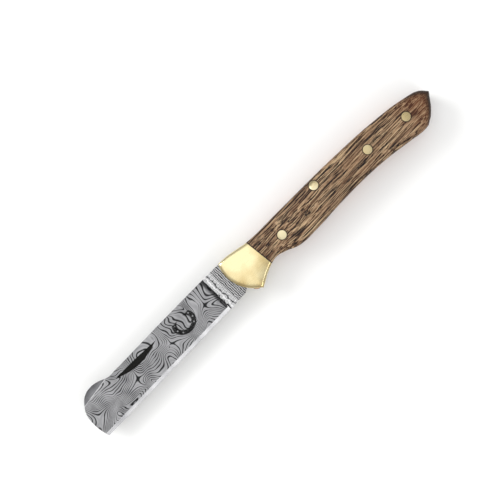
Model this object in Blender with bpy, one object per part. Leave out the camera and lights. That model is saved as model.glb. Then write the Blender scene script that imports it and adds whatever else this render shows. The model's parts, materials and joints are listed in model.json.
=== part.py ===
"""Folding hoof knife: a slip-joint farrier's knife with a hooked blade.

The blade turns on a pin through two brass bolsters and folds into a well
between two steel liners. A full-length back spring with filework holds it.

Frame while modelling: the pivot axis is the Z axis, +X runs to the butt,
+Y is the spine, +Z is the side with the nail nick. At the end an empty
carries everything so that the knife lies on Z = 0, centred on the origin.
Outlines are in millimetres and every other length is in metres.
"""
import math

import bmesh
import bpy
from mathutils import Vector

MM = 0.001

# Clearances
GAP = 0.3 * MM           # between two fixed pieces that lie on each other
PIN_GAP = 0.1 * MM       # around a pin in its hole
RUNNING_GAP = 0.08 * MM  # around the pivot pin in the turning tang

# Stack of layers, half thicknesses measured from the middle plane
WELL_HALF = 1.95 * MM
LINER_THICK = 1.55 * MM
SPRING_HALF = WELL_HALF - GAP
SCALE_INNER = WELL_HALF + LINER_THICK + GAP

# Pivot
PIVOT_RADIUS = 1.75 * MM
WASHER_RADIUS = 3.6 * MM
WASHER_THICK = 0.3 * MM
TANG_HALF = WELL_HALF - PIN_GAP - WASHER_THICK - PIN_GAP
TANG_RADIUS = 3.7 * MM
SHOULDER_X = -1.3
NOSE_X = SHOULDER_X + GAP / MM

# Handle outline, (x, y, is_corner) in millimetres, from the bolster's top
# front corner along the spine to the butt and back along the belly.
HANDLE_OUTLINE = [
    (-6.3, 16.75, True),
    (-2.0, 16.5, False),
    (3.0, 15.6, False),
    (8.8, 14.4, False),
    (28.0, 13.8, False),
    (60.0, 12.9, False),
    (85.0, 11.0, False),
    (100.0, 8.5, False),
    (106.5, 6.3, False),
    (109.6, 3.0, True),
    (103.2, -4.4, False),
    (99.0, -7.0, True),
    (96.5, -7.25, False),
    (88.0, -6.0, False),
    (78.0, -4.4, False),
    (66.0, -3.3, False),
    (50.0, -3.0, False),
    (34.0, -3.4, False),
    (24.0, -2.9, False),
    (17.5, -0.2, False),
    (13.5, 0.9, False),
    (8.6, -0.1, False),
    (0.0, -4.3, True),
    (-5.1, 0.9, False),
    (-7.9, 8.2, False),
    (-7.6, 13.4, False),
]
SPINE_LINE = [(x, y) for x, y, _ in HANDLE_OUTLINE[:10]]
OUTLINE_STEPS = 3
STRAIGHT = math.radians(0.4)  # a wire bends by more than this at each of its corners

# Straight joint between bolster and scale, top and bottom, in millimetres
JOINT_TOP = (8.6, 14.4)
JOINT_BOTTOM = (9.9, 0.2)

# Half width of the handle along x, both in millimetres
CROWN = [
    (-8.0, 7.35), (2.0, 7.5), (10.0, 7.55), (20.0, 8.35), (30.0, 9.3), (44.0, 9.95),
    (57.0, 10.35), (82.0, 10.35), (92.0, 10.15), (101.0, 9.6), (110.0, 8.7),
]
BOLSTER_ROUND = (1.2, 1.0)   # width and drop of the rounded edge on brass, mm
SCALE_ROUND = (3.0, 2.6)     # the same on wood, mm
ROUND_CHANGE = (9.0, 34.0)   # x where the rounding starts and stops growing, mm
RING_SHARES = (0.1, 0.35, 0.65, 1.0)  # of the rounding's width
STATIONS = (4.0, 100.0)      # first and last cross line that carries the crown, mm
STATION_STEP = 8.0
SNAP = 0.4 * MM             # a cut this close to a corner goes through it

# Space between the liners that the spring leaves free, in millimetres
WELL_OUTLINE = [
    (-20.0, 30.0, True),
    (NOSE_X, 30.0, True),
    (NOSE_X, 4.0, True),
    (4.6, 4.0, True),
    (12.0, 7.6, False),
    (20.0, 8.3, False),
    (32.0, 7.9, False),
    (46.0, 6.2, False),
    (60.0, 3.6, False),
    (72.0, 1.7, False),
    (86.0, 1.5, False),
    (94.2, 1.5, True),
    (94.4, -20.0, True),
    (-20.0, -20.0, True),
]

# Blade outline in millimetres, from the edge corner at the tip, round the
# square end and the ear, along the spine to the shoulder, round the tang.
BLADE_OUTLINE = [
    (-92.1, -0.6, True),
    (-93.0, 4.0, False),
    (-93.1, 8.6, False),
    (-92.4, 12.4, False),
    (-90.4, 15.8, False),
    (-87.2, 18.7, False),
    (-82.9, 19.7, False),
    (-78.6, 18.9, False),
    (-74.4, 17.2, False),
    (-70.0, 17.1, False),
    (-40.0, 17.1, False),
    (-14.0, 16.8, False),
    (SHOULDER_X, 16.4, True),
    (SHOULDER_X, 3.0, True),
    (-7.0, -0.4, True),
    (-16.4, -0.6, True),
]
GRIND_X = -16.4
GRIND_TOP_HALF = 1.25 * MM
GRIND_EDGE_HALF = 0.75 * MM
EDGE_BEVEL_Y = 1.4 * MM
EDGE_HALF = 0.12 * MM
EAR_BEVEL_LINE = ((-91.0, 15.5), (-75.0, 17.6))
EAR_BEVEL_DROP = 1.1 * MM
NICK_OUTLINE = [
    (-72.7, 14.4, True),
    (-61.0, 14.2, False),
    (-48.7, 13.4, True),
    (-54.0, 11.9, False),
    (-60.5, 11.2, False),
    (-67.0, 12.3, False),
]
NICK_DEPTH = 0.45 * MM

# Fasteners: x, y in millimetres
PIN_RADIUS = 2.0 * MM
PIN_PLACES = [(21.6, 5.7), (46.1, 10.6), (73.0, 4.6), (94.5, 2.5)]
RIVET_RADIUS = 1.1 * MM
RIVET_PLACES = [(-2.6, 11.6), (5.0, 7.2)]
RIVET_DEPTH = 2.6 * MM
ROUND_SEGMENTS = 20

# Filework: notches in the spring's two top edges
# Filework by hand: side, blunt end, length and reach across, in millimetres
NOTCHES = [
    (1, 8.4, 4.0, 0.9), (1, 26.5, 5.7, 1.2), (1, 43.8, 5.4, 1.2), (1, 54.9, 6.4, 1.4),
    (1, 74.9, 5.4, 1.4), (1, 88.9, 5.0, 1.3), (1, 103.0, 2.2, 0.6),
    (-1, 20.8, 4.7, 1.3), (-1, 39.4, 6.3, 1.8), (-1, 53.3, 6.5, 1.8), (-1, 69.8, 6.4, 1.9),
    (-1, 85.5, 6.4, 1.9), (-1, 100.5, 5.7, 1.6),
]
NOTCH_DEPTH = 0.4 * MM


def clear_scene():
    """Remove every object that a new file starts with."""
    for obj in list(bpy.data.objects):
        bpy.data.objects.remove(obj)


def new_collection(name):
    """Make a collection in the scene."""
    collection = bpy.data.collections.new(name)
    bpy.context.scene.collection.children.link(collection)
    return collection


def new_material(name, colour, roughness, metallic):
    """Make a plain Principled material."""
    material = bpy.data.materials.new(name)
    material.use_nodes = True
    shader = material.node_tree.nodes["Principled BSDF"]
    shader.inputs["Base Color"].default_value = (*colour, 1.0)
    shader.inputs["Roughness"].default_value = roughness
    shader.inputs["Metallic"].default_value = metallic
    return material


def smooth_between(low, high, value):
    """Ease from 0 at low to 1 at high."""
    t = min(max((value - low) / (high - low), 0.0), 1.0)
    return t * t * (3.0 - 2.0 * t)


def interpolate(knots, x):
    """Pass a smooth curve through the knots without overshoot."""
    x = min(max(x, knots[0][0]), knots[-1][0])
    slopes = [(b[1] - a[1]) / (b[0] - a[0]) for a, b in zip(knots, knots[1:])]
    tangents = [slopes[0]]
    for left, right in zip(slopes, slopes[1:]):
        product = left * right
        tangents.append(2.0 * product / (left + right) if product > 0.0 else 0.0)
    tangents.append(slopes[-1])
    for i, (start, end) in enumerate(zip(knots, knots[1:])):
        if x <= end[0]:
            width = end[0] - start[0]
            t = (x - start[0]) / width
            rise = t * t * (3.0 - 2.0 * t)
            lead = t * (1.0 - t) ** 2 * width * tangents[i]
            trail = t * t * (t - 1.0) * width * tangents[i + 1]
            return start[1] + rise * (end[1] - start[1]) + lead + trail
    return knots[-1][1]


def outline_mesh(name, outline, fill, half_thickness=0.0):
    """Turn an outline into a mesh through a 2D curve.

    A filled outline becomes a closed plate, an unfilled one a wire loop.
    """
    curve = bpy.data.curves.new(name, "CURVE")
    curve.dimensions = "2D"
    curve.fill_mode = "BOTH" if fill else "NONE"
    curve.extrude = half_thickness
    curve.resolution_u = OUTLINE_STEPS
    spline = curve.splines.new("BEZIER")
    spline.bezier_points.add(len(outline) - 1)
    spline.use_cyclic_u = True
    for point, (x, y, is_corner) in zip(spline.bezier_points, outline):
        point.co = (x * MM, y * MM, 0.0)
        kind = "VECTOR" if is_corner else "AUTO"
        point.handle_left_type = kind
        point.handle_right_type = kind
    temporary = bpy.data.objects.new(name + "_curve", curve)
    bpy.context.scene.collection.objects.link(temporary)
    depsgraph = bpy.context.evaluated_depsgraph_get()
    mesh = bpy.data.meshes.new_from_object(temporary.evaluated_get(depsgraph))
    bpy.data.objects.remove(temporary)
    mesh.name = name
    bm = bmesh.new()
    bm.from_mesh(mesh)
    bmesh.ops.remove_doubles(bm, verts=bm.verts, dist=0.002 * MM)
    if fill:
        bmesh.ops.recalc_face_normals(bm, faces=bm.faces)
    else:
        bmesh.ops.dissolve_limit(bm, angle_limit=STRAIGHT, verts=bm.verts, edges=bm.edges)
    bm.to_mesh(mesh)
    bm.free()
    return mesh


def outline_polygon():
    """List the handle outline's corners in order, in metres."""
    mesh = outline_mesh("handle_line", HANDLE_OUTLINE, fill=False)
    bm = bmesh.new()
    bm.from_mesh(mesh)
    bm.verts.ensure_lookup_table()
    start = bm.verts[0]
    vert, edge = start, start.link_edges[0]
    corners = []
    while True:
        corners.append(vert.co.to_2d())
        vert = edge.other_vert(vert)
        edge = next(other for other in vert.link_edges if other != edge)
        if vert == start:
            break
    bm.free()
    bpy.data.meshes.remove(mesh)
    return corners


def edge_distance(polygon, x, y):
    """Measure how far a point lies from the outline, in metres."""
    point = Vector((x, y))
    best = math.inf
    for start, end in zip(polygon, polygon[1:] + polygon[:1]):
        span = end - start
        t = min(max((point - start).dot(span) / span.length_squared, 0.0), 1.0)
        best = min(best, (start + span * t - point).length)
    return best


def surface_height(polygon, x, y):
    """Height of the handle's outer surface over the middle plane, in metres."""
    grown = smooth_between(*ROUND_CHANGE, x / MM)
    width = BOLSTER_ROUND[0] + grown * (SCALE_ROUND[0] - BOLSTER_ROUND[0])
    drop = BOLSTER_ROUND[1] + grown * (SCALE_ROUND[1] - BOLSTER_ROUND[1])
    t = min(edge_distance(polygon, x, y) / (width * MM), 1.0)
    return MM * (interpolate(CROWN, x / MM) - drop * (1.0 - math.sqrt(1.0 - (1.0 - t) ** 2)))


def add_object(name, mesh, collection, material=None, parent=None):
    """Link a mesh as a named object and dress it."""
    obj = bpy.data.objects.new(name, mesh)
    collection.objects.link(obj)
    obj.parent = parent
    if material:
        mesh.materials.append(material)
        mesh.shade_smooth()
        mesh.set_sharp_from_angle(angle=math.radians(30.0))
    return obj


def mark_cutter(obj):
    """Show a cutter as a wire and keep it out of renders."""
    obj.hide_render = True
    obj.display_type = "WIRE"
    return obj


def cut(obj, cutter):
    """Take the cutter's volume out of the object."""
    modifier = obj.modifiers.new("cut_" + cutter.name, "BOOLEAN")
    modifier.operation = "DIFFERENCE"
    modifier.solver = "EXACT"
    modifier.object = cutter


def cylinder_mesh(name, radius, low, high, place=(0.0, 0.0)):
    """Make an upright cylinder between two heights; place is in millimetres."""
    mesh = bpy.data.meshes.new(name)
    bm = bmesh.new()
    bmesh.ops.create_cone(bm, cap_ends=True, cap_tris=True, segments=ROUND_SEGMENTS,
                          radius1=radius, radius2=radius, depth=high - low)
    offset = (place[0] * MM, place[1] * MM, (low + high) / 2.0)
    bmesh.ops.translate(bm, verts=bm.verts, vec=offset)
    bm.to_mesh(mesh)
    bm.free()
    return mesh


def slab_mesh(name, polygon, keep_front, side):
    """Make a bolster (keep_front) or a scale on one side, +1 or -1.

    The handle outline is filled, cut into cross strips, raised, and inset
    in rings near its edge. Then every outer vertex takes its height from the
    crowned surface, and the joint plane keeps the front or the rear part.
    """
    mesh = bpy.data.meshes.new(name)
    bm = bmesh.new()
    loop = [bm.verts.new((corner.x, corner.y, side * SCALE_INNER)) for corner in polygon]
    bm.faces.new(loop)
    station = STATIONS[0]
    while station <= STATIONS[1]:
        bmesh.ops.bisect_plane(bm, geom=bm.verts[:] + bm.edges[:] + bm.faces[:], dist=SNAP,
                               plane_co=(station * MM, 0.0, 0.0), plane_no=(1.0, 0.0, 0.0))
        station += STATION_STEP
    raised = bmesh.ops.extrude_face_region(bm, geom=bm.faces[:])
    outer = [item for item in raised["geom"] if isinstance(item, bmesh.types.BMVert)]
    top = [item for item in raised["geom"] if isinstance(item, bmesh.types.BMFace)]
    bmesh.ops.translate(bm, verts=outer, vec=(0.0, 0.0, side * MM))
    width = BOLSTER_ROUND[0] if keep_front else SCALE_ROUND[0]
    reached = 0.0
    for share in RING_SHARES:
        bmesh.ops.inset_region(bm, faces=top, thickness=(share - reached) * width * MM,
                               use_even_offset=False, use_boundary=True)
        reached = share
    for vert in bm.verts:
        if abs(vert.co.z) > SCALE_INNER + 0.5 * MM:
            vert.co.z = side * surface_height(polygon, vert.co.x, vert.co.y)
    bmesh.ops.recalc_face_normals(bm, faces=bm.faces)
    keep_side_of_joint(bm, keep_front)
    bm.to_mesh(mesh)
    bm.free()
    return mesh


def keep_side_of_joint(bm, keep_front):
    """Cut a slab at the joint plane, half a gap back, and close the cut."""
    top = Vector(JOINT_TOP).to_3d() * MM
    bottom = Vector(JOINT_BOTTOM).to_3d() * MM
    along = top - bottom
    normal = Vector((along.y, -along.x, 0.0)).normalized()
    away = normal if keep_front else -normal
    bmesh.ops.bisect_plane(bm, geom=bm.verts[:] + bm.edges[:] + bm.faces[:], dist=0.01 * MM,
                           plane_co=bottom - away * (GAP / 2.0), plane_no=away, clear_outer=True)
    rim = [edge for edge in bm.edges if edge.is_boundary]
    bmesh.ops.holes_fill(bm, edges=rim)
    bmesh.ops.recalc_face_normals(bm, faces=bm.faces)


def pin_mesh(name, polygon, radius, place):
    """Make a through-pin whose ends follow the handle's surface."""
    mesh = cylinder_mesh(name, radius, -8.0 * MM, 8.0 * MM, place)
    for vert in mesh.vertices:
        height = surface_height(polygon, vert.co.x, vert.co.y)
        vert.co.z = math.copysign(height, vert.co.z)
    return mesh


def wedge_cutter(name, profile, start_x, end_x, collection, parent):
    """Make a prism along X from a (y, z) profile in metres."""
    mesh = bpy.data.meshes.new(name)
    bm = bmesh.new()
    face = bm.faces.new([bm.verts.new((start_x, y, z)) for y, z in profile])
    grown = bmesh.ops.extrude_face_region(bm, geom=[face])
    moved = [item for item in grown["geom"] if isinstance(item, bmesh.types.BMVert)]
    bmesh.ops.translate(bm, verts=moved, vec=(end_x - start_x, 0.0, 0.0))
    bmesh.ops.recalc_face_normals(bm, faces=bm.faces)
    bm.to_mesh(mesh)
    bm.free()
    return mark_cutter(add_object(name, mesh, collection, parent=parent))


def tang_disc(collection, parent):
    """Make the round of the tang that turns under the spring's nose."""
    mesh = cylinder_mesh("tang_round", TANG_RADIUS, -TANG_HALF, TANG_HALF)
    return mark_cutter(add_object("tang_round", mesh, collection, parent=parent))


def make_blade(parts, cutters, parent, steel):
    """Make the blade with its ground faces, ear, nick and pivot bore."""
    mesh = outline_mesh("blade", BLADE_OUTLINE, fill=True, half_thickness=TANG_HALF)
    blade = add_object("blade", mesh, parts, steel, parent)
    union = blade.modifiers.new("tang", "BOOLEAN")
    union.operation = "UNION"
    union.solver = "EXACT"
    union.object = tang_disc(cutters, parent)
    for side in (1, -1):
        grind_face(blade, side, cutters, parent)
    cut(blade, ear_cutter(cutters, parent))
    nick = outline_mesh("nail_nick", NICK_OUTLINE, fill=True, half_thickness=NICK_DEPTH)
    nick_cutter = mark_cutter(add_object("nail_nick", nick, cutters, parent=parent))
    nick_cutter.location.z = GRIND_TOP_HALF
    cut(blade, nick_cutter)
    bore = cylinder_mesh("tang_bore", PIVOT_RADIUS + RUNNING_GAP, -4.0 * MM, 4.0 * MM)
    cut(blade, mark_cutter(add_object("tang_bore", bore, cutters, parent=parent)))
    return blade


def grind_face(blade, side, cutters, parent):
    """Grind one face: a long taper and a narrow bevel along the edge."""
    above = side * 5.0 * MM
    top = 25.0 * MM
    below = -5.0 * MM
    edge = -0.6 * MM
    drop = (GRIND_TOP_HALF - GRIND_EDGE_HALF) / (17.0 * MM - EDGE_BEVEL_Y)
    taper = [
        (top, side * (GRIND_TOP_HALF + drop * (top - 17.0 * MM))),
        (EDGE_BEVEL_Y, side * GRIND_EDGE_HALF),
        (edge, side * EDGE_HALF),
        (below, side * EDGE_HALF),
        (below, above),
        (top, above),
    ]
    name = "grind_front" if side > 0 else "grind_back"
    cut(blade, wedge_cutter(name, taper, -120.0 * MM, GRIND_X * MM, cutters, parent))


def ear_cutter(cutters, parent):
    """Make the block that hollows the ear towards its rim."""
    start = Vector(EAR_BEVEL_LINE[0]).to_3d() * MM
    end = Vector(EAR_BEVEL_LINE[1]).to_3d() * MM
    reach = 5.0 * MM
    profile = [
        (0.0, GRIND_TOP_HALF),
        (reach, GRIND_TOP_HALF - EAR_BEVEL_DROP * reach / (3.4 * MM)),
        (reach, 5.0 * MM),
        (0.0, 5.0 * MM),
    ]
    length = (end - start).length
    cutter = wedge_cutter("ear_hollow", profile, -5.0 * MM, length + 5.0 * MM, cutters, parent)
    cutter.location = start
    cutter.rotation_euler.z = math.atan2(end.y - start.y, end.x - start.x)
    return cutter


def notch_cutter(name, side, blunt, length, reach, cutters, parent):
    """Make a triangular notch cutter over one top edge of the spring."""
    outer = side * (SPRING_HALF + MM)
    inner = side * (SPRING_HALF - reach * MM)
    taper = blunt + side * length
    top = min(interpolate(SPINE_LINE, blunt), interpolate(SPINE_LINE, taper))
    mesh = bpy.data.meshes.new(name)
    bm = bmesh.new()
    corners = [
        (taper * MM, outer),
        (taper * MM, side * SPRING_HALF),
        (blunt * MM, inner),
        (blunt * MM, outer),
    ]
    low = top * MM - NOTCH_DEPTH
    face = bm.faces.new([bm.verts.new((x, low, z)) for x, z in corners])
    grown = bmesh.ops.extrude_face_region(bm, geom=[face])
    moved = [item for item in grown["geom"] if isinstance(item, bmesh.types.BMVert)]
    bmesh.ops.translate(bm, verts=moved, vec=(0.0, 3.0 * MM, 0.0))
    bmesh.ops.recalc_face_normals(bm, faces=bm.faces)
    bm.to_mesh(mesh)
    bm.free()
    return mark_cutter(add_object(name, mesh, cutters, parent=parent))


def make_spring(parts, cutters, parent, steel, holes):
    """Make the back spring: the handle's outline less the blade's well."""
    mesh = outline_mesh("back_spring", HANDLE_OUTLINE, fill=True, half_thickness=SPRING_HALF)
    spring = add_object("back_spring", mesh, parts, steel, parent)
    well = outline_mesh("blade_well", WELL_OUTLINE, fill=True, half_thickness=4.0 * MM)
    cut(spring, mark_cutter(add_object("blade_well", well, cutters, parent=parent)))
    for hole in holes:
        cut(spring, hole)
    for number, (side, blunt, length, reach) in enumerate(NOTCHES, start=1):
        name = f"notch_{number}"
        cut(spring, notch_cutter(name, side, blunt, length, reach, cutters, parent))
    return spring


def make_handle(parts, cutters, parent, materials):
    """Make the liners, bolsters, scales, washers, pins and rivets."""
    polygon = outline_polygon()
    reach = 14.0 * MM
    holes = []
    for number, place in enumerate(PIN_PLACES, start=1):
        pin = pin_mesh(f"scale_pin_{number}", polygon, PIN_RADIUS, place)
        add_object(f"scale_pin_{number}", pin, parts, materials["brass"], parent)
        hole = cylinder_mesh(f"pin_hole_{number}", PIN_RADIUS + PIN_GAP, -reach, reach, place)
        holes.append(mark_cutter(add_object(f"pin_hole_{number}", hole, cutters, parent=parent)))
    pivot = pin_mesh("pivot_pin", polygon, PIVOT_RADIUS, (0.0, 0.0))
    add_object("pivot_pin", pivot, parts, materials["pin_steel"], parent)
    bore = cylinder_mesh("pivot_hole", PIVOT_RADIUS + PIN_GAP, -reach, reach)
    pivot_hole = mark_cutter(add_object("pivot_hole", bore, cutters, parent=parent))
    for side, word in ((1, "front"), (-1, "back")):
        liner = make_liner(side, word, parts, parent, materials["steel"])
        bolster_mesh = slab_mesh(f"bolster_{word}", polygon, True, side)
        bolster = add_object(f"bolster_{word}", bolster_mesh, parts, materials["brass"], parent)
        scale_mesh = slab_mesh(f"scale_{word}", polygon, False, side)
        scale = add_object(f"scale_{word}", scale_mesh, parts, materials["wood_" + word], parent)
        for hole in holes:
            cut(liner, hole)
            cut(scale, hole)
        cut(liner, pivot_hole)
        cut(bolster, pivot_hole)
        make_rivets(side, word, liner, bolster, parts, cutters, parent, materials["brass"])
        make_washer(side, word, parts, cutters, parent, materials["bronze"])
    return holes


def make_liner(side, word, parts, parent, steel):
    """Make one steel liner over the whole handle."""
    mesh = outline_mesh(f"liner_{word}", HANDLE_OUTLINE, fill=True, half_thickness=LINER_THICK / 2.0)
    liner = add_object(f"liner_{word}", mesh, parts, steel, parent)
    liner.location.z = side * (WELL_HALF + LINER_THICK / 2.0)
    return liner


def make_rivets(side, word, liner, bolster, parts, cutters, parent, brass):
    """Make the blind rivets that hold a bolster to its liner."""
    inner = WELL_HALF + PIN_GAP
    outer = SCALE_INNER + RIVET_DEPTH
    for number, place in enumerate(RIVET_PLACES, start=1):
        low, high = sorted((side * inner, side * outer))
        name = f"bolster_rivet_{word}_{number}"
        rivet = cylinder_mesh(name, RIVET_RADIUS, low, high, place)
        add_object(name, rivet, parts, brass, parent)
        low, high = sorted((side * (inner - MM), side * (outer + PIN_GAP)))
        bore = cylinder_mesh(f"rivet_hole_{word}_{number}", RIVET_RADIUS + PIN_GAP, low, high, place)
        hole = mark_cutter(add_object(f"rivet_hole_{word}_{number}", bore, cutters, parent=parent))
        cut(liner, hole)
        cut(bolster, hole)


def make_washer(side, word, parts, cutters, parent, bronze):
    """Make the thin washer between the tang and a liner."""
    outer = WELL_HALF - PIN_GAP
    low, high = sorted((side * outer, side * (outer - WASHER_THICK)))
    name = f"pivot_washer_{word}"
    washer = add_object(name, cylinder_mesh(name, WASHER_RADIUS, low, high), parts, bronze, parent)
    bore = cylinder_mesh(f"washer_hole_{word}", PIVOT_RADIUS + PIN_GAP, low - MM, high + MM)
    cut(washer, mark_cutter(add_object(f"washer_hole_{word}", bore, cutters, parent=parent)))


def stand_on_origin(frame, parts):
    """Move the frame so that the knife lies on Z = 0, centred in X and Y."""
    bpy.context.view_layer.update()
    depsgraph = bpy.context.evaluated_depsgraph_get()
    corners = []
    for obj in parts.objects:
        shape = obj.evaluated_get(depsgraph)
        corners += [shape.matrix_world @ vert.co for vert in shape.data.vertices]
    low = [min(corner[i] for corner in corners) for i in range(3)]
    high = [max(corner[i] for corner in corners) for i in range(3)]
    frame.location = (-(low[0] + high[0]) / 2.0, -(low[1] + high[1]) / 2.0, -low[2])
    bpy.context.view_layer.update()


def main():
    """Build the knife."""
    clear_scene()
    parts = new_collection("hoof_knife")
    cutters = new_collection("cutters")
    frame = bpy.data.objects.new("knife_frame", None)
    bpy.context.scene.collection.objects.link(frame)
    hinge = bpy.data.objects.new("blade_hinge", None)
    bpy.context.scene.collection.objects.link(hinge)
    hinge.parent = frame
    materials = {
        "steel": new_material("spring_steel", (0.58, 0.61, 0.64), 0.3, 1.0),
        "pin_steel": new_material("pin_steel", (0.62, 0.62, 0.62), 0.25, 1.0),
        "blade_steel": new_material("pattern_welded_steel", (0.30, 0.31, 0.32), 0.4, 1.0),
        "brass": new_material("polished_brass", (0.83, 0.68, 0.38), 0.22, 1.0),
        "bronze": new_material("phosphor_bronze", (0.62, 0.40, 0.22), 0.35, 1.0),
        "wood_front": new_material("streaked_hardwood", (0.27, 0.14, 0.07), 0.5, 0.0),
        "wood_back": new_material("red_hardwood", (0.35, 0.14, 0.05), 0.5, 0.0),
    }
    make_blade(parts, cutters, hinge, materials["blade_steel"])
    holes = make_handle(parts, cutters, frame, materials)
    make_spring(parts, cutters, frame, materials["steel"], holes)
    stand_on_origin(frame, parts)


main()
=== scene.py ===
"""Looks of a folding hoof knife: pattern-welded blade, brass, hardwood and a filed spring.

Shapes are worked out in millimetres from the pivot, with +X to the butt, +Y to
the spine and +Z out of the face with the nail nick, and are then placed in the
frame by the pivot's place in the record.
"""
import json
import logging
import math
from dataclasses import dataclass, field
from enum import Enum
from typing import Any, Iterable

import bmesh
import bpy
import numpy as np
from mathutils import Matrix, Vector


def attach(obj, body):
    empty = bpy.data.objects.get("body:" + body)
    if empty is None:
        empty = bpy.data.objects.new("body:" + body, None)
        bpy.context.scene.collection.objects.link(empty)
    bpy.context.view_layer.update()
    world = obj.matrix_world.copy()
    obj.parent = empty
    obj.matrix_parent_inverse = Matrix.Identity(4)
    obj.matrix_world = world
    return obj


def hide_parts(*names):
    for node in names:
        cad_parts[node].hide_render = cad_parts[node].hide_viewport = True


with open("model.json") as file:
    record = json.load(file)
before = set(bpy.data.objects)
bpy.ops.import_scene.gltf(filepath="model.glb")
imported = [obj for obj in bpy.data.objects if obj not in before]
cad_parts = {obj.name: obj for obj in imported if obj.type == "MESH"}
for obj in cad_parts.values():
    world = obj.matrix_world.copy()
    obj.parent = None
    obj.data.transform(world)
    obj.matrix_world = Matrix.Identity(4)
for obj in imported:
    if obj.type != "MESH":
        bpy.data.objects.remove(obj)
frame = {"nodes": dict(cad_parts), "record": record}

LOG = logging.getLogger("hoof_knife")
MM = 0.001
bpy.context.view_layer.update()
PIVOT = Vector(frame["record"]["behaviour"]["joints"][0]["pos_m"])
SMOOTH = {"interpolation_type": "SMOOTHSTEP"}
PLUNGE_X = -16.4
PIN_PLACES = ((21.6, 5.7), (46.1, 10.6), (73.0, 4.6), (94.5, 2.5))

Point = tuple[float, float, bool]


class Side(Enum):
    """The two faces of the knife: FRONT carries the nail nick."""

    FRONT = 1
    BACK = -1

    @property
    def word(self) -> str:
        """The word that CAD nodes on this side end with."""
        return self.name.lower()


class Body(Enum):
    """The two rigid bodies of the knife."""

    HANDLE = "handle"
    BLADE = "blade"


# --- Colours and node trees -------------------------------------------------


def linear(code: str) -> tuple[float, float, float, float]:
    """Turn an sRGB hex colour into linear RGBA.

    Args:
        code: Six hex digits with a leading #.

    Returns:
        Red, green and blue in linear light, and an alpha of 1.
    """
    parts = [int(code[i:i + 2], 16) / 255.0 for i in (1, 3, 5)]
    turned = [c / 12.92 if c <= 0.04045 else ((c + 0.055) / 1.055) ** 2.4 for c in parts]
    return (turned[0], turned[1], turned[2], 1.0)


def add_node(
    tree: bpy.types.NodeTree,
    kind: str,
    inputs: dict[Any, Any] | Iterable[Any] = (),
    output: int | str = 0,
    **settings: Any,
) -> bpy.types.NodeSocket:
    """Add a node with its settings, values and links.

    Args:
        tree: The tree that gets the node.
        kind: The node's type name, without "ShaderNode".
        inputs: A value, or the output that feeds it, for each socket: in order, or
            by the socket's name or number.
        output: The name or number of the output to give back.
        **settings: Attributes of the node, such as operation, or a ramp's stops, each
            with its place from 0 to 1 and its sRGB hex colour.

    Returns:
        The output; its .node is the new node.
    """
    node = tree.nodes.new("ShaderNode" + kind)
    for name, value in settings.items():
        if name == "stops":
            set_stops(node.color_ramp.elements, value)
        else:
            setattr(node, name, value)
    named = inputs if isinstance(inputs, dict) else dict(enumerate(inputs))
    for socket, value in named.items():
        if isinstance(value, bpy.types.NodeSocket):
            tree.links.new(value, node.inputs[socket])
        else:
            node.inputs[socket].default_value = value
    return node.outputs[output]


def set_stops(elements: bpy.types.ColorRampElements, stops: list[tuple[float, str]]) -> None:
    """Fill a ramp with stops, each with its place and its sRGB hex colour.

    Args:
        elements: The ramp's stops.
        stops: Place from 0 to 1 and sRGB hex colour of each stop, in order.
    """
    while len(elements) < len(stops):
        elements.new(0.5)
    for element, (place, code) in zip(elements, stops):
        element.position = place
        element.color = linear(code)


def span(low: float, high: float) -> dict[str, float]:
    """Give the inputs that map low to 0 and high to 1, whichever is the greater.

    Args:
        low: The value that gives 0.
        high: The value that gives 1.

    Returns:
        Input names and values of a Map Range node.
    """
    flipped = low > high
    bounds = {"From Min": min(low, high), "From Max": max(low, high)}
    return {**bounds, "To Min": 1.0 if flipped else 0.0, "To Max": 0.0 if flipped else 1.0}


@dataclass(frozen=True)
class Finish:
    """A material made of nodes; a subclass paints it in paint().

    Attributes:
        name: What the material is and how its surface was made.
        roughness: The mean roughness of the surface.
        metallic: 1 for bare metal, 0 for wood.
    """

    name: str
    roughness: float
    metallic: float

    def make(self) -> bpy.types.Material:
        """Build the material, or return it if it is already built.

        Returns:
            The material.
        """
        found = bpy.data.materials.get(self.name)
        if found:
            return found
        material = bpy.data.materials.new(self.name)
        material.use_nodes = True
        tree = material.node_tree
        shader = tree.nodes["Principled BSDF"]
        shader.inputs["Metallic"].default_value = self.metallic
        shader.inputs["Roughness"].default_value = self.roughness
        self.paint(tree, shader)
        return material

    def paint(self, tree: bpy.types.NodeTree, shader: bpy.types.Node) -> None:
        """Add the pattern; the plain finish has none."""

    @staticmethod
    def millimetres(
        tree: bpy.types.NodeTree, stretch: tuple[float, float, float] = (1.0, 1.0, 1.0)
    ) -> bpy.types.NodeSocket:
        """Give the place on the piece in millimetres from the pivot.

        Args:
            tree: The tree that gets the nodes.
            stretch: Divides each axis, so a pattern is that many times longer along it.

        Returns:
            A vector output.
        """
        place = add_node(tree, "TexCoord", output="Object")
        scale = [1.0 / (MM * s) for s in stretch]
        shift = [-c * k for c, k in zip(PIVOT, scale)]
        return add_node(tree, "Mapping", {"Vector": place, "Scale": scale, "Location": shift})


# --- Finishes ---------------------------------------------------------------


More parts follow.
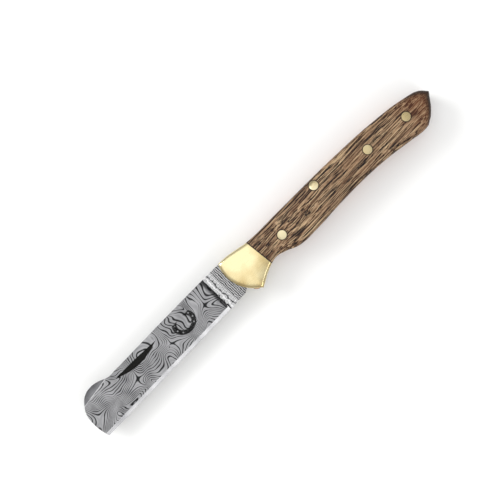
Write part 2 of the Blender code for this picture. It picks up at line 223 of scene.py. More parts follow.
@dataclass(frozen=True)
class PatternWeldedSteel(Finish):
    """Pattern-welded steel, ground flat, polished and etched in acid.

    The acid eats the plain layers dark and a little lower than the nickel
    layers, so the eye sees fine dark contour lines that swirl round eyes and
    stars on a grey metal. Towards the handle the bar was left untwisted, and
    its layers stand across the blade as straight and wavy lines.

    Attributes:
        greys: The etched layers from the darkest to the brightest.
        raised: The nickel layers that stand bright at the ricasso.
        scale_black: Painted shade in the corner of the plunge.
        mark_black: The etched mark.
        star_place: A star's x and y.
        star_pitch: From star to star along x and y.
        last_star_x: The star nearest the tip.
        pull_mm: Size of the swirls that bend the pattern.
        warp_mm: How far the swirls bend it.
        drift_mm: Size of the eyes between the stars.
        layers: Contour lines from a star to the next eye.
        line_mm: Length over which a line grows bold and fine again.
        line_width: Width of a line, as a factor of that change and a constant.
        line_tones: Tones of a line and of the steel beside it.
        thread: Strength and shift of the fine threads between the lines.
        tone_mm: Size of slow changes of tone.
        tone_range: How much the tone changes.
        wobble_mm: Length of the waves of the upright layers.
        broad_mm: From one broad upright layer to the next.
        narrow_mm: The same behind them, near the bolster.
        rung_mm: From one rung across the upright layers to the next.
        narrow_x: Where the layers turn from narrow to broad.
        plunge_x: Where the ricasso ends.
        face_stretch: The pattern is this many times longer along each axis.
        flat_z: Only a face this far from the middle shows upright layers.
        mark_place: The mark's x and y.
        mark_radius: The mark's half width and half height.
        mark_web: Half the width of its web.
        nail_turns: Places of its nail holes, in degrees from the toe.
        nail_edge: Radius of a nail hole, and where its rim ends.
        etch_mm: How deep the acid bites.
    """

    greys: tuple[tuple[float, str], ...] = (
        (0.0, "#202021"), (0.28, "#454546"), (0.6, "#88888A"), (1.0, "#B4B4B5")
    )
    raised: str = "#D2D2D2"
    scale_black: str = "#1B1B1C"
    mark_black: str = "#141414"

    star_place: tuple[float, float] = (-66.8, 8.0)
    star_pitch: tuple[float, float] = (23.0, 17.0)
    last_star_x: float = -77.0
    pull_mm: float = 12.5
    warp_mm: float = 17.0
    drift_mm: float = 9.091
    layers: float = 8.5
    line_mm: float = 5.0
    line_width: tuple[float, float] = (0.75, -0.11)
    line_tones: tuple[float, float] = (0.1, 0.67)
    thread: tuple[float, float] = (0.36, -0.09)
    tone_mm: float = 6.25
    tone_range: float = 0.34
    wobble_mm: float = 1.613
    broad_mm: float = 2.7027
    narrow_mm: float = 0.8
    rung_mm: float = 0.9524
    narrow_x: tuple[float, float] = (-11.0, -13.0)
    plunge_x: float = PLUNGE_X
    face_stretch: tuple[float, float, float] = (1.0, 1.0, 0.35)
    flat_z: tuple[float, float] = (1.2, 1.38)
    mark_place: tuple[float, float] = (-34.7, 9.9)
    mark_radius: tuple[float, float] = (4.7, 3.9)
    mark_web: float = 1.15
    nail_turns: tuple[float, ...] = (-115.0, -80.0, -45.0, 45.0, 80.0, 115.0)
    nail_edge: tuple[float, float] = (0.22, 0.42)
    etch_mm: float = 0.035

    def paint(self, tree: bpy.types.NodeTree, shader: bpy.types.Node) -> None:
        """Paint the layers, painted shade in the plunge's corner and the etched mark.

        Args:
            tree: The tree that gets the nodes.
            shader: Its Principled node.
        """
        place = self.millimetres(tree, self.face_stretch)
        axes = add_node(tree, "SeparateXYZ", {"Vector": self.millimetres(tree)}).node.outputs
        swirl = self.swirl_lines(tree, place)
        straight = self.ricasso_lines(tree, axes)
        bounds = span(self.plunge_x - 0.1, self.plunge_x + 0.1)
        behind = add_node(tree, "MapRange", {"Value": axes["X"], **bounds}, **SMOOTH)
        depth = add_node(tree, "Math", (axes["Z"],), operation="ABSOLUTE")
        outer = add_node(tree, "MapRange", {"Value": depth, **span(*self.flat_z)}, **SMOOTH)
        flat = add_node(tree, "Math", (outer, behind), operation="MULTIPLY")
        lines = add_node(tree, "Mix", {0: flat, 2: swirl, 3: straight})
        tone = add_node(
            tree, "TexNoise", {"Vector": place, "Scale": 1.0 / self.tone_mm, "Detail": 2.0}
        )
        shade = (tone, self.tone_range, -0.5 * self.tone_range)
        shade = add_node(tree, "Math", shade, operation="MULTIPLY_ADD")
        level = add_node(tree, "Math", (lines, shade), operation="ADD")
        colour = add_node(tree, "ValToRGB", {"Fac": level}, stops=self.greys)
        bright = add_node(tree, "MapRange", {"Value": straight, **span(0.25, 1.0)}, **SMOOTH)
        bright = add_node(tree, "Math", (bright, flat), operation="MULTIPLY")
        # Painted shade: the plunge's corner is darkened in place of the shadow of its round.
        corner = self.plunge_shadow(tree, axes["X"])
        mark = self.mark(tree, axes)
        coats = ((bright, self.raised), (corner, self.scale_black), (mark, self.mark_black))
        for share, code in coats:
            mixed = {0: share, 6: colour, 7: linear(code)}
            colour = add_node(tree, "Mix", mixed, 2, data_type="RGBA")
        tree.links.new(colour, shader.inputs["Base Color"])
        rough = add_node(
            tree, "Math", (level, -0.22, self.roughness + 0.16), operation="MULTIPLY_ADD"
        )
        tree.links.new(rough, shader.inputs["Roughness"])
        relief = add_node(tree, "Math", (lines, mark), operation="SUBTRACT")
        relief = {"Height": relief, "Distance": self.etch_mm * MM, "Strength": 0.7}
        tree.links.new(add_node(tree, "Bump", relief), shader.inputs["Normal"])

    def swirl_lines(
        self, tree: bpy.types.NodeTree, place: bpy.types.NodeSocket
    ) -> bpy.types.NodeSocket:
        """Draw the contour lines of a warped field.

        Args:
            tree: The tree that gets the nodes.
            place: The place in millimetres.

        Returns:
            0 in a dark line to 1 on the bright layers.
        """
        pull = {"Vector": place, "Scale": 1.0 / self.pull_mm, "Detail": 0.4}
        pull = add_node(tree, "TexNoise", pull, "Color")
        centred = add_node(tree, "VectorMath", (pull, (0.5, 0.5, 0.5)), operation="SUBTRACT")
        warp = (self.warp_mm, self.warp_mm, 0.0)
        pulled = add_node(tree, "VectorMath", (centred, warp, place), operation="MULTIPLY_ADD")
        axes = add_node(tree, "SeparateXYZ", {"Vector": pulled}).node.outputs
        waves = []
        for axis, start, pitch in zip("XY", self.star_place, self.star_pitch):
            turn = (axes[axis], math.pi / pitch, -start * math.pi / pitch)
            turn = add_node(tree, "Math", turn, operation="MULTIPLY_ADD")
            waves.append(add_node(tree, "Math", (turn,), operation="SINE"))
        field = add_node(tree, "Math", waves, operation="MULTIPLY")
        calm = add_node(tree, "Math", (waves[1], waves[1]), operation="MULTIPLY")
        calm = add_node(tree, "Math", (waves[0], waves[0], calm), operation="MULTIPLY_ADD")
        drift = add_node(
            tree, "TexNoise",
            {"Vector": pulled, "Scale": 1.0 / self.drift_mm, "Detail": 1.0, "Roughness": 0.4},
        )
        drift = add_node(tree, "Math", (drift, 0.5), operation="SUBTRACT")
        drift = add_node(tree, "Math", (drift, calm), operation="MULTIPLY")
        levels = add_node(tree, "Math", (drift, 1.1, field), operation="MULTIPLY_ADD")
        bounds = span(self.last_star_x, self.last_star_x - 6.0)
        turned = add_node(tree, "MapRange", {"Value": axes["X"], **bounds}, **SMOOTH)
        turned = add_node(tree, "Math", (turned, 0.5), operation="MULTIPLY")
        phase = add_node(tree, "Math", (levels, self.layers, turned), operation="MULTIPLY_ADD")
        bold = add_node(tree, "Math", (phase, 0.5), operation="PINGPONG")
        twice = add_node(tree, "Math", (phase, 2.0), operation="MULTIPLY")
        fine = add_node(tree, "Math", (twice, 0.5), operation="PINGPONG")
        weight = add_node(
            tree, "TexNoise", {"Vector": place, "Scale": 1.0 / self.line_mm, "Detail": 1.0}
        )
        width = add_node(tree, "Math", (weight, *self.line_width), operation="MULTIPLY_ADD")
        tones = dict(zip(("To Min", "To Max"), self.line_tones))
        drawn = {"Value": bold, "From Min": 0.02, "From Max": width, **tones}
        drawn = add_node(tree, "MapRange", drawn, **SMOOTH)
        threads = add_node(tree, "Math", (fine, *self.thread), operation="MULTIPLY_ADD")
        return add_node(tree, "Math", (drawn, threads), operation="ADD")

    def ricasso_lines(self, tree: bpy.types.NodeTree, axes: Any) -> bpy.types.NodeSocket:
        """Draw the upright layers behind the plunge.

        Args:
            tree: The tree that gets the nodes.
            axes: X, Y and Z outputs in millimetres.

        Returns:
            0 in a dark line to 1 on the bright layers.
        """
        across = add_node(tree, "CombineXYZ", {"X": axes["X"], "Y": axes["Y"]})
        wobble = add_node(
            tree, "TexNoise", {"Vector": across, "Scale": 1.0 / self.wobble_mm, "Detail": 1.5}
        )
        fade = {"Value": axes["X"], **span(*self.narrow_x)}
        fade = add_node(tree, "MapRange", fade, **SMOOTH)
        reach = add_node(tree, "Math", (fade, 1.9, 1.1), operation="MULTIPLY_ADD")
        shift = add_node(tree, "Math", (wobble, 0.5), operation="SUBTRACT")
        shift = add_node(tree, "Math", (shift, reach), operation="MULTIPLY")
        x = add_node(tree, "Math", (axes["X"], shift), operation="ADD")
        pitches = (self.broad_mm, self.broad_mm / 3.0, self.narrow_mm)
        turns = [add_node(tree, "Math", (x, 1.0 / mm), operation="MULTIPLY") for mm in pitches]
        turns.append(add_node(tree, "Math", (axes["Y"], 1.0 / self.rung_mm), operation="MULTIPLY"))
        broad, inner, narrow, rungs = (
            add_node(tree, "Math", (turn, 0.5), operation="PINGPONG") for turn in turns
        )
        broad = add_node(tree, "MapRange", {"Value": broad, **span(0.05, 0.4)}, **SMOOTH)
        broad = add_node(tree, "Math", (broad, 0.3), operation="MULTIPLY")
        broad = add_node(tree, "Math", (inner, 0.6, broad), operation="MULTIPLY_ADD")
        lines = add_node(tree, "Mix", {0: fade, 2: narrow, 3: broad})
        ladder = add_node(tree, "Math", (rungs, 0.2, -0.05), operation="MULTIPLY_ADD")
        gain = add_node(tree, "Math", (fade, 0.2, 1.3), operation="MULTIPLY_ADD")
        drawn = add_node(tree, "Math", (lines, gain, 0.1), operation="MULTIPLY_ADD")
        return add_node(tree, "Math", (drawn, ladder), operation="ADD")

    def plunge_shadow(
        self, tree: bpy.types.NodeTree, x: bpy.types.NodeSocket
    ) -> bpy.types.NodeSocket:
        """Darken the corner of the plunge with painted shade, where its round turns from the
        light.

        Args:
            tree: The tree that gets the nodes.
            x: The place along the blade in millimetres.

        Returns:
            0 where the steel is bright, and more in the corner.
        """
        rising = span(self.plunge_x - 2.0, self.plunge_x - 0.8)
        falling = span(self.plunge_x + 0.5, self.plunge_x + 0.15)
        before = add_node(tree, "MapRange", {"Value": x, **rising}, **SMOOTH)
        after = add_node(tree, "MapRange", {"Value": x, **falling}, **SMOOTH)
        both = add_node(tree, "Math", (before, after), operation="MULTIPLY")
        return add_node(tree, "Math", (both, 0.85), operation="MULTIPLY")

    def mark(self, tree: bpy.types.NodeTree, axes: Any) -> bpy.types.NodeSocket:
        """Etch a plain horseshoe with its nail holes on the front face.

        Args:
            tree: The tree that gets the nodes.
            axes: X, Y and Z outputs in millimetres.

        Returns:
            1 where the acid has bitten, 0 elsewhere.
        """
        u = add_node(tree, "Math", (axes["X"], self.mark_place[0]), operation="SUBTRACT")
        v = add_node(tree, "Math", (axes["Y"], self.mark_place[1]), operation="SUBTRACT")
        wide, tall = self.mark_radius
        across = add_node(tree, "Math", (u, wide), operation="DIVIDE")
        upward = add_node(tree, "Math", (v, tall), operation="DIVIDE")
        spot = add_node(tree, "CombineXYZ", {"X": across, "Y": upward})
        far = add_node(tree, "VectorMath", {0: spot}, "Value", operation="LENGTH")
        off = add_node(tree, "Math", (far, 1.0), operation="SUBTRACT")
        off = add_node(tree, "Math", (off,), operation="ABSOLUTE")
        web = self.mark_web / tall
        ring = add_node(tree, "MapRange", {"Value": off, **span(web, web * 0.7)}, **SMOOTH)
        shut = add_node(tree, "MapRange", {"Value": v, **span(tall * 0.72, tall * 0.6)}, **SMOOTH)
        shape = add_node(tree, "Math", (ring, shut), operation="MULTIPLY")
        flat = add_node(tree, "CombineXYZ", {"X": u, "Y": v})
        for turn in self.nail_turns:
            angle = math.radians(turn)
            nail = (wide * math.sin(angle), -tall * math.cos(angle), 0.0)
            gap = add_node(tree, "VectorMath", {0: flat, 1: nail}, "Value", operation="DISTANCE")
            hole = add_node(tree, "MapRange", {"Value": gap, **span(*self.nail_edge)}, **SMOOTH)
            shape = add_node(tree, "Math", (shape, hole), operation="MULTIPLY")
        grit = add_node(tree, "TexNoise", {"Vector": spot, "Scale": 9.0, "Detail": 2.0})
        bitten = add_node(tree, "MapRange", {"Value": grit, **span(0.32, 0.5)}, **SMOOTH)
        front = add_node(tree, "MapRange", {"Value": axes["Z"], **span(0.0, 0.5)}, **SMOOTH)
        worn = add_node(tree, "Math", (bitten, 0.3, 0.68), operation="MULTIPLY_ADD")
        shape = add_node(tree, "Math", (shape, worn), operation="MULTIPLY")
        return add_node(tree, "Math", (shape, front), operation="MULTIPLY")


@dataclass(frozen=True)
class GroundSteel(Finish):
    """Bare steel from a belt or a stone: fine parallel scratches and a plain grey.

    The scratches pull the highlight out across the grain. Real ones are under
    0.1 mm wide, too fine to show, so they are drawn coarser.
    """

    light: str = "#C9CCD0"
    dark: str = "#9EA2A6"
    scratch_mm: tuple[float, float, float] = (14.0, 0.3, 0.3)
    tone_mm: float = 6.667
    scratch_depth_mm: float = 0.012

    def paint(self, tree: bpy.types.NodeTree, shader: bpy.types.Node) -> None:
        """Paint the scratches and a slow change of tone.

        Args:
            tree: The tree that gets the nodes.
            shader: Its Principled node.
        """
        along = self.millimetres(tree, self.scratch_mm)
        grain = add_node(
            tree, "TexNoise", {"Vector": along, "Scale": 1.0, "Detail": 5.0, "Roughness": 0.65}
        )
        slow = {"Vector": self.millimetres(tree), "Scale": 1.0 / self.tone_mm, "Detail": 3.0}
        slow = add_node(tree, "TexNoise", slow)
        both = add_node(tree, "Math", (grain, 0.5), operation="MULTIPLY")
        both = add_node(tree, "Math", (slow, 0.5, both), operation="MULTIPLY_ADD")
        colour = add_node(
            tree, "ValToRGB", {"Fac": both}, stops=[(0.35, self.dark), (0.62, self.light)]
        )
        tree.links.new(colour, shader.inputs["Base Color"])
        rough = add_node(
            tree, "Math", (grain, 0.25, self.roughness - 0.12), operation="MULTIPLY_ADD"
        )
        tree.links.new(rough, shader.inputs["Roughness"])
        relief = {"Height": grain, "Distance": self.scratch_depth_mm * MM, "Strength": 0.5}
        tree.links.new(add_node(tree, "Bump", relief), shader.inputs["Normal"])


@dataclass(frozen=True)
class PolishedBrass(Finish):
    """Cast brass bar, ground and buffed by hand.

    Buffing leaves a mirror that is slightly wavy and faintly scratched. Broad light
    and dark areas are partly random tone and partly painted shading. The buffing
    marks are drawn wider than real ones, which are too fine to show.
    """

    light: str = "#D6CAA0"
    dark: str = "#B39D6C"
    patch_mm: float = 12.5
    stroke_mm: tuple[float, float, float] = (5.0, 0.35, 0.35)
    wave_depth_mm: float = 0.16

    def paint(self, tree: bpy.types.NodeTree, shader: bpy.types.Node) -> None:
        """Paint broad tone that is partly painted shading, buffing marks and a wavy polish.

        Args:
            tree: The tree that gets the nodes.
            shader: Its Principled node.
        """
        place = self.millimetres(tree)
        # Painted shading: broad light and dark areas over the brass, partly random tone.
        tone_and_shade_patches = add_node(
            tree, "TexNoise",
            {"Vector": place, "Scale": 1.0 / self.patch_mm, "Detail": 2.5, "Roughness": 0.5},
        )
        colour = add_node(
            tree, "ValToRGB", {"Fac": tone_and_shade_patches}, stops=[(0.34, self.dark), (0.62, self.light)]
        )
        tree.links.new(colour, shader.inputs["Base Color"])
        along = self.millimetres(tree, self.stroke_mm)
        strokes = add_node(tree, "TexNoise", {"Vector": along, "Scale": 1.0, "Detail": 4.0})
        rough = add_node(
            tree, "Math", (strokes, 0.2, self.roughness - 0.1), operation="MULTIPLY_ADD"
        )
        tree.links.new(rough, shader.inputs["Roughness"])
        waves = add_node(tree, "Math", (strokes, 0.08, tone_and_shade_patches), operation="MULTIPLY_ADD")
        relief = {"Height": waves, "Distance": self.wave_depth_mm * MM, "Strength": 0.5}
        tree.links.new(add_node(tree, "Bump", relief), shader.inputs["Normal"])


@dataclass(frozen=True)
class OiledHardwood(Finish):
    """Dense streaked hardwood, sanded and oiled.

    Dark bands run wavering along the handle over a brown ground, and short
    open pores are filled with dark dust.

    Attributes:
        deep: The darkest streaks, the pores and the stained rims.
        band: The dark bands.
        ground: The wood between them.
        pale: The palest wood.
        butt: The redder wood at the butt.
        glue: Dark glue round the pins.
        seam: Where the wood starts: its x at y 0, and the change of x with y.
        seam_edge: The glue line fades out between these distances from the seam.
        butt_x: The wood turns redder between these places.
        rim_x: The darker rim of the butt begins between these places.
        rim_z: The rim lies lower than these half widths.
        rim_share: How dark the rim and the glue lines are.
        bend_mm: Size of the bends of the grain along each axis.
        bend_by: How far the grain bends.
        band_mm: Size of a band along each axis.
        streak_mm: Size of a streak.
        streak_edge: Levels at which a streak begins and is fully dark.
        streak_depth: How dark it is.
        pore_mm: Size of a pore.
        pore_edge: Levels at which a pore begins and is fully dark.
        pore_share: How dark it is.
        pore_depth_mm: How deep it is.
        ring_edge: The glue line fades in between these distances from a pin's middle.
        pins: The x and y of the pins.
    """

    deep: str = "#1B0F08"
    band: str = "#573B27"
    ground: str = "#927458"
    pale: str = "#BFA480"
    butt: str = "#6A3A20"
    glue: str = "#1E120B"
    seam: tuple[float, float] = (9.92, -0.0915)
    seam_edge: tuple[float, float] = (0.65, 0.3)
    butt_x: tuple[float, float] = (86.0, 108.0)
    rim_x: tuple[float, float] = (94.0, 104.0)
    rim_z: tuple[float, float] = (9.4, 7.6)
    rim_share: float = 0.85
    bend_mm: tuple[float, float, float] = (26.0, 7.0, 7.0)
    bend_by: float = 2.4
    band_mm: tuple[float, float, float] = (24.0, 0.75, 0.75)
    streak_mm: tuple[float, float, float] = (15.0, 0.42, 0.42)
    streak_edge: tuple[float, float] = (0.49, 0.455)
    streak_depth: float = 1.0
    pore_mm: tuple[float, float, float] = (2.6, 0.2, 0.2)
    pore_edge: tuple[float, float] = (0.44, 0.33)
    pore_share: float = 0.6
    pore_depth_mm: float = 0.06
    ring_edge: tuple[float, float] = (2.75, 2.15)
    pins: tuple[tuple[float, float], ...] = ()

    def paint(self, tree: bpy.types.NodeTree, shader: bpy.types.Node) -> None:
        """Paint the bands, the pores, the redder butt and the rings round the pins.

        Args:
            tree: The tree that gets the nodes.
            shader: Its Principled node.
        """
        plain = self.millimetres(tree)
        axes = add_node(tree, "SeparateXYZ", {"Vector": plain}).node.outputs
        grain = self.bent_grain(tree, plain)
        bands = self.fibres(tree, grain, self.band_mm, 4.0, 0.62)
        stops = [(0.28, self.deep), (0.41, self.band), (0.5, self.ground), (0.66, self.pale)]
        colour = add_node(tree, "ValToRGB", {"Fac": bands}, stops=stops)
        streaks = self.fibres(tree, grain, self.streak_mm, 3.0, 0.55)
        colour, _ = self.stain(
            tree, colour, streaks, self.streak_edge, self.streak_depth, self.deep
        )
        pores = self.fibres(tree, grain, self.pore_mm, 2.0, 0.5)
        colour, open_pores = self.stain(
            tree, colour, pores, self.pore_edge, self.pore_share, self.deep
        )
        colour, _ = self.stain(tree, colour, axes["X"], self.butt_x, 0.55, self.butt)
        colour = self.rims(tree, axes, colour)
        flat = add_node(tree, "VectorMath", (plain, (1.0, 1.0, 0.0)), operation="MULTIPLY")
        for pin in self.pins:
            gap = add_node(
                tree, "VectorMath", (flat, (*pin, 0.0)), "Value", operation="DISTANCE"
            )
            colour, _ = self.stain(tree, colour, gap, self.ring_edge, self.rim_share, self.glue)
        tree.links.new(colour, shader.inputs["Base Color"])
        rough = add_node(tree, "Math", (open_pores, 0.4, self.roughness), operation="MULTIPLY_ADD")
        tree.links.new(rough, shader.inputs["Roughness"])
        shader.inputs["Specular IOR Level"].default_value = 0.22
        shut = add_node(tree, "Math", (1.0, open_pores), operation="SUBTRACT")
        height = add_node(tree, "Math", (bands, 0.5, shut), operation="MULTIPLY_ADD")
        relief = {"Height": height, "Distance": self.pore_depth_mm * MM, "Strength": 0.6}
        tree.links.new(add_node(tree, "Bump", relief), shader.inputs["Normal"])

    def bent_grain(
        self, tree: bpy.types.NodeTree, plain: bpy.types.NodeSocket
    ) -> bpy.types.NodeSocket:
        """Bend the grain a little up and down along the handle.

        Args:
            tree: The tree that gets the nodes.
            plain: The place in millimetres.

        Returns:
            The bent place in millimetres.
        """
        bends = {"Vector": self.millimetres(tree, self.bend_mm), "Scale": 1.0, "Detail": 2.0}
        bends = add_node(tree, "TexNoise", bends, "Color")
        centred = add_node(tree, "VectorMath", (bends, (0.5, 0.5, 0.5)), operation="SUBTRACT")
        reach = (0.0, self.bend_by, self.bend_by)
        return add_node(tree, "VectorMath", (centred, reach, plain), operation="MULTIPLY_ADD")

    @staticmethod
    def fibres(
        tree: bpy.types.NodeTree,
        grain: bpy.types.NodeSocket,
        size_mm: tuple[float, float, float],
        detail: float,
        roughness: float,
    ) -> bpy.types.NodeSocket:
        """Draw cloudy fibres that follow the grain.

        Args:
            tree: The tree that gets the nodes.
            grain: The bent place in millimetres.
            size_mm: Size of a fibre along each axis.
            detail: How many finer layers lie over the fibres.
            roughness: How strong these layers are.

        Returns:
            The level, about 0.5 on average.
        """
        scale = tuple(1.0 / size for size in size_mm)
        along = add_node(tree, "VectorMath", (grain, scale), operation="MULTIPLY")
        inputs = {"Vector": along, "Scale": 1.0, "Detail": detail, "Roughness": roughness}
        return add_node(tree, "TexNoise", inputs)

    @staticmethod
    def stain(
        tree: bpy.types.NodeTree,
        colour: bpy.types.NodeSocket,
        value: bpy.types.NodeSocket,
        edge: tuple[float, float],
        share: float | bpy.types.NodeSocket,
        code: str,
    ) -> tuple[bpy.types.NodeSocket, bpy.types.NodeSocket]:
        """Stain the wood where a value crosses an edge.

        Args:
            tree: The tree that gets the nodes.
            colour: The wood's colour so far.
            value: The value that decides.
            edge: Where the stain begins, and where it is full.
            share: How much of the wood a full stain covers.
            code: The stain's sRGB hex colour.

        Returns:
            The stained colour, and how much stain each place has.
        """
        amount = add_node(tree, "MapRange", {"Value": value, **span(*edge)}, **SMOOTH)
        amount = add_node(tree, "Math", (amount, share), operation="MULTIPLY")
        mixed = {0: amount, 6: colour, 7: linear(code)}
        return add_node(tree, "Mix", mixed, 2, data_type="RGBA"), amount

    def rims(
        self, tree: bpy.types.NodeTree, axes: Any, colour: bpy.types.NodeSocket
    ) -> bpy.types.NodeSocket:
        """Darken the wood near the butt where it lies low, and the glue line at the brass.

        Args:
            tree: The tree that gets the nodes.
            axes: X, Y and Z outputs in millimetres.
            colour: The wood's colour so far.

        Returns:
            The colour with both.
        """
        # Darker towards the butt where the wood lies lower than the rim heights.
        height = add_node(tree, "Math", (axes["Z"],), operation="ABSOLUTE")
        near_butt = {"Value": axes["X"], **span(*self.rim_x)}
        near_butt = add_node(tree, "MapRange", near_butt, **SMOOTH)
        share = add_node(tree, "Math", (near_butt, self.rim_share), operation="MULTIPLY")
        colour, _ = self.stain(tree, colour, height, self.rim_z, share, self.deep)
        start_x, slant = self.seam
        start = add_node(tree, "Math", (axes["Y"], slant, start_x), operation="MULTIPLY_ADD")
        past = add_node(tree, "Math", (axes["X"], start), operation="SUBTRACT")
        colour, _ = self.stain(tree, colour, past, self.seam_edge, self.rim_share, self.deep)
        return colour


@dataclass(frozen=True)
class BlackeningAndShade(Finish):
    """Dull black steel in a recess: blackened by heat in the nail nick, and painted
    shade in the spring's filed notches.

    The grains of the black are drawn coarser than real ones, so that they show.
    """

    light: str = "#1D1C1A"
    dark: str = "#080807"
    patch_mm: float = 0.625
    crust_mm: float = 0.03

    def paint(self, tree: bpy.types.NodeTree, shader: bpy.types.Node) -> None:
        """Paint a black that is thicker in places.

        Args:
            tree: The tree that gets the nodes.
            shader: Its Principled node.
        """
        dark_recess = {"Vector": self.millimetres(tree), "Scale": 1.0 / self.patch_mm, "Detail": 4.0}
        dark_recess = add_node(tree, "TexNoise", dark_recess)
        colour = add_node(
            tree, "ValToRGB", {"Fac": dark_recess}, stops=[(0.35, self.dark), (0.7, self.light)]
        )
        tree.links.new(colour, shader.inputs["Base Color"])
        shader.inputs["Specular IOR Level"].default_value = 0.1
        relief = {"Height": dark_recess, "Distance": self.crust_mm * MM, "Strength": 0.5}
        tree.links.new(add_node(tree, "Bump", relief), shader.inputs["Normal"])


@dataclass(frozen=True)
class PaintedFloor(Finish):
    """Matt white studio board."""

    light: str = "#FBFBFA"

    def paint(self, tree: bpy.types.NodeTree, shader: bpy.types.Node) -> None:
        """Paint a plain pale board."""
        shader.inputs["Base Color"].default_value = linear(self.light)


# --- Shapes -----------------------------------------------------------------


@dataclass(frozen=True)
class Outline:
    """A closed outline in millimetres, smooth except at the points marked as corners."""

    name: str
    points: tuple[Point, ...]

    def loop(self, steps: int, clear: float = 0.0) -> list[Vector]:
        """Sample the outline.

        Args:
            steps: Samples in each stretch between two points.
            clear: Samples this near to a corner are left out, in millimetres.

        Returns:
            The samples in order.
        """
        curve = bpy.data.curves.new(self.name, "CURVE")
        curve.dimensions = "2D"
        curve.fill_mode = "NONE"
        curve.resolution_u = steps
        spline = curve.splines.new("BEZIER")
        spline.bezier_points.add(len(self.points) - 1)
        spline.use_cyclic_u = True
        for point, (x, y, is_corner) in zip(spline.bezier_points, self.points):
            point.co = (x, y, 0.0)
            point.handle_left_type = "VECTOR" if is_corner else "AUTO"
            point.handle_right_type = point.handle_left_type
        guide = bpy.data.objects.new(self.name, curve)
        bpy.context.scene.collection.objects.link(guide)
        seen = guide.evaluated_get(bpy.context.evaluated_depsgraph_get())
        samples = [vert.co.to_2d() for vert in seen.to_mesh().vertices]
        seen.to_mesh_clear()
        bpy.data.objects.remove(guide)
        bpy.data.curves.remove(curve)
        corners = [Vector((x, y)) for x, y, is_corner in self.points if is_corner]
        on = 0.001
        return [s for s in samples if not any(on < (s - c).length < clear for c in corners)]

    def plate(self, steps: int, low: float, high: float) -> bmesh.types.BMesh:
        """Make a flat plate of the outline between two heights, in millimetres."""
        return prism([(p.x, p.y, low) for p in self.loop(steps)], (0.0, 0.0, high - low))


def prism(
    corners: Iterable[tuple[float, float, float]], reach: Iterable[float]
) -> bmesh.types.BMesh:
    """Extrude one face.

    Args:
        corners: The face's corners in order.
        reach: How far and where the face is drawn out.

    Returns:
        A closed mesh with its faces outwards.
    """
    bm = bmesh.new()
    face = bm.faces.new([bm.verts.new(corner) for corner in corners])
    grown = bmesh.ops.extrude_face_region(bm, geom=[face])
    moved = [item for item in grown["geom"] if isinstance(item, bmesh.types.BMVert)]
    bmesh.ops.translate(bm, verts=moved, vec=tuple(reach))
    bmesh.ops.recalc_face_normals(bm, faces=bm.faces)
    return bm


def as_object(name: str, bm: bmesh.types.BMesh, slot: int = 0, slots: int = 1) -> bpy.types.Object:
    """Store a mesh in a scratch object, with every face on one material slot.

    Args:
        name: The object's name.
        bm: The shape, which is used up.
        slot: The material slot of its faces.
        slots: How many material slots it gets.

    Returns:
        The scratch object.
    """
    mesh = bpy.data.meshes.new(name)
    for face in bm.faces:
        face.material_index = slot
    bm.to_mesh(mesh)
    bm.free()
    for _ in range(slots):
        mesh.materials.append(None)
    scratch = bpy.data.objects.new(name, mesh)
    bpy.context.scene.collection.objects.link(scratch)
    return scratch


def carve(
    name: str, bm: bmesh.types.BMesh, cutters: list[tuple[bmesh.types.BMesh, int]],
    joined: list[bmesh.types.BMesh] | None = None,
) -> bmesh.types.BMesh:
    """Join shapes to a shape and cut others out of it.

    Args:
        name: A name for the scratch objects.
        bm: The shape.
        cutters: Each cutter with the material slot of the faces that it leaves.
        joined: Shapes that are joined first.

    Returns:
        The carved shape, in which the slots are material numbers.
    """
    slots = 1 + max([slot for _, slot in cutters], default=0)
    target = as_object(name, bm, 0, slots)
    jobs = [(other, 0, "UNION") for other in joined or []]
    jobs += [(cutter, slot, "DIFFERENCE") for cutter, slot in cutters]
    helpers = []
    for number, (shape, slot, operation) in enumerate(jobs):
        helper = as_object(f"{name}_{number}", shape, slot, slots)
        modifier = target.modifiers.new(helper.name, "BOOLEAN")
        modifier.operation = operation
        modifier.solver = "EXACT"
        modifier.object = helper
        helpers.append(helper)
    seen = target.evaluated_get(bpy.context.evaluated_depsgraph_get())
    carved = bmesh.new()
    carved.from_mesh(seen.to_mesh())
    seen.to_mesh_clear()
    for scratch in [target, *helpers]:
        mesh = scratch.data
        bpy.data.objects.remove(scratch)
        bpy.data.meshes.remove(mesh)
    return carved


def finish_piece(
    name: str, bm: bmesh.types.BMesh, finishes: list[Finish], body: Body,
    replaced: str, softened: float = 0.0, sharp: float = 32.0,
) -> bpy.types.Object:
    """Place a shape in the frame, dress it and hang it on its body.

    Args:
        name: The piece's name.
        bm: The shape, in millimetres from the pivot.
        finishes: One finish for each material number.
        body: The body that it rides on.
        replaced: The CAD node that it stands for.
        softened: Width of the broken edges in millimetres, or 0 for none.
        sharp: Edges that turn more than this many degrees stay sharp.

    Returns:
        The piece.
    """
    bmesh.ops.transform(bm, matrix=Matrix.Translation(PIVOT) @ Matrix.Scale(MM, 4), verts=bm.verts)
    mesh = bpy.data.meshes.new(name)
    bm.to_mesh(mesh)
    bm.free()
    for finish in finishes:
        mesh.materials.append(finish.make())
    mesh.shade_smooth()
    mesh.set_sharp_from_angle(angle=math.radians(sharp))
    piece = bpy.data.objects.new(name, mesh)
    bpy.context.scene.collection.objects.link(piece)
    if softened:
        bevel = piece.modifiers.new("broken_edges", "BEVEL")
        bevel.width = softened * MM
        bevel.segments = 2
        bevel.limit_method = "ANGLE"
        bevel.angle_limit = math.radians(sharp)
        bevel.miter_outer = "MITER_ARC"
        bevel.harden_normals = True
    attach(piece, body.value)
    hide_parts(replaced)
    return piece


# --- The handle's form ------------------------------------------------------


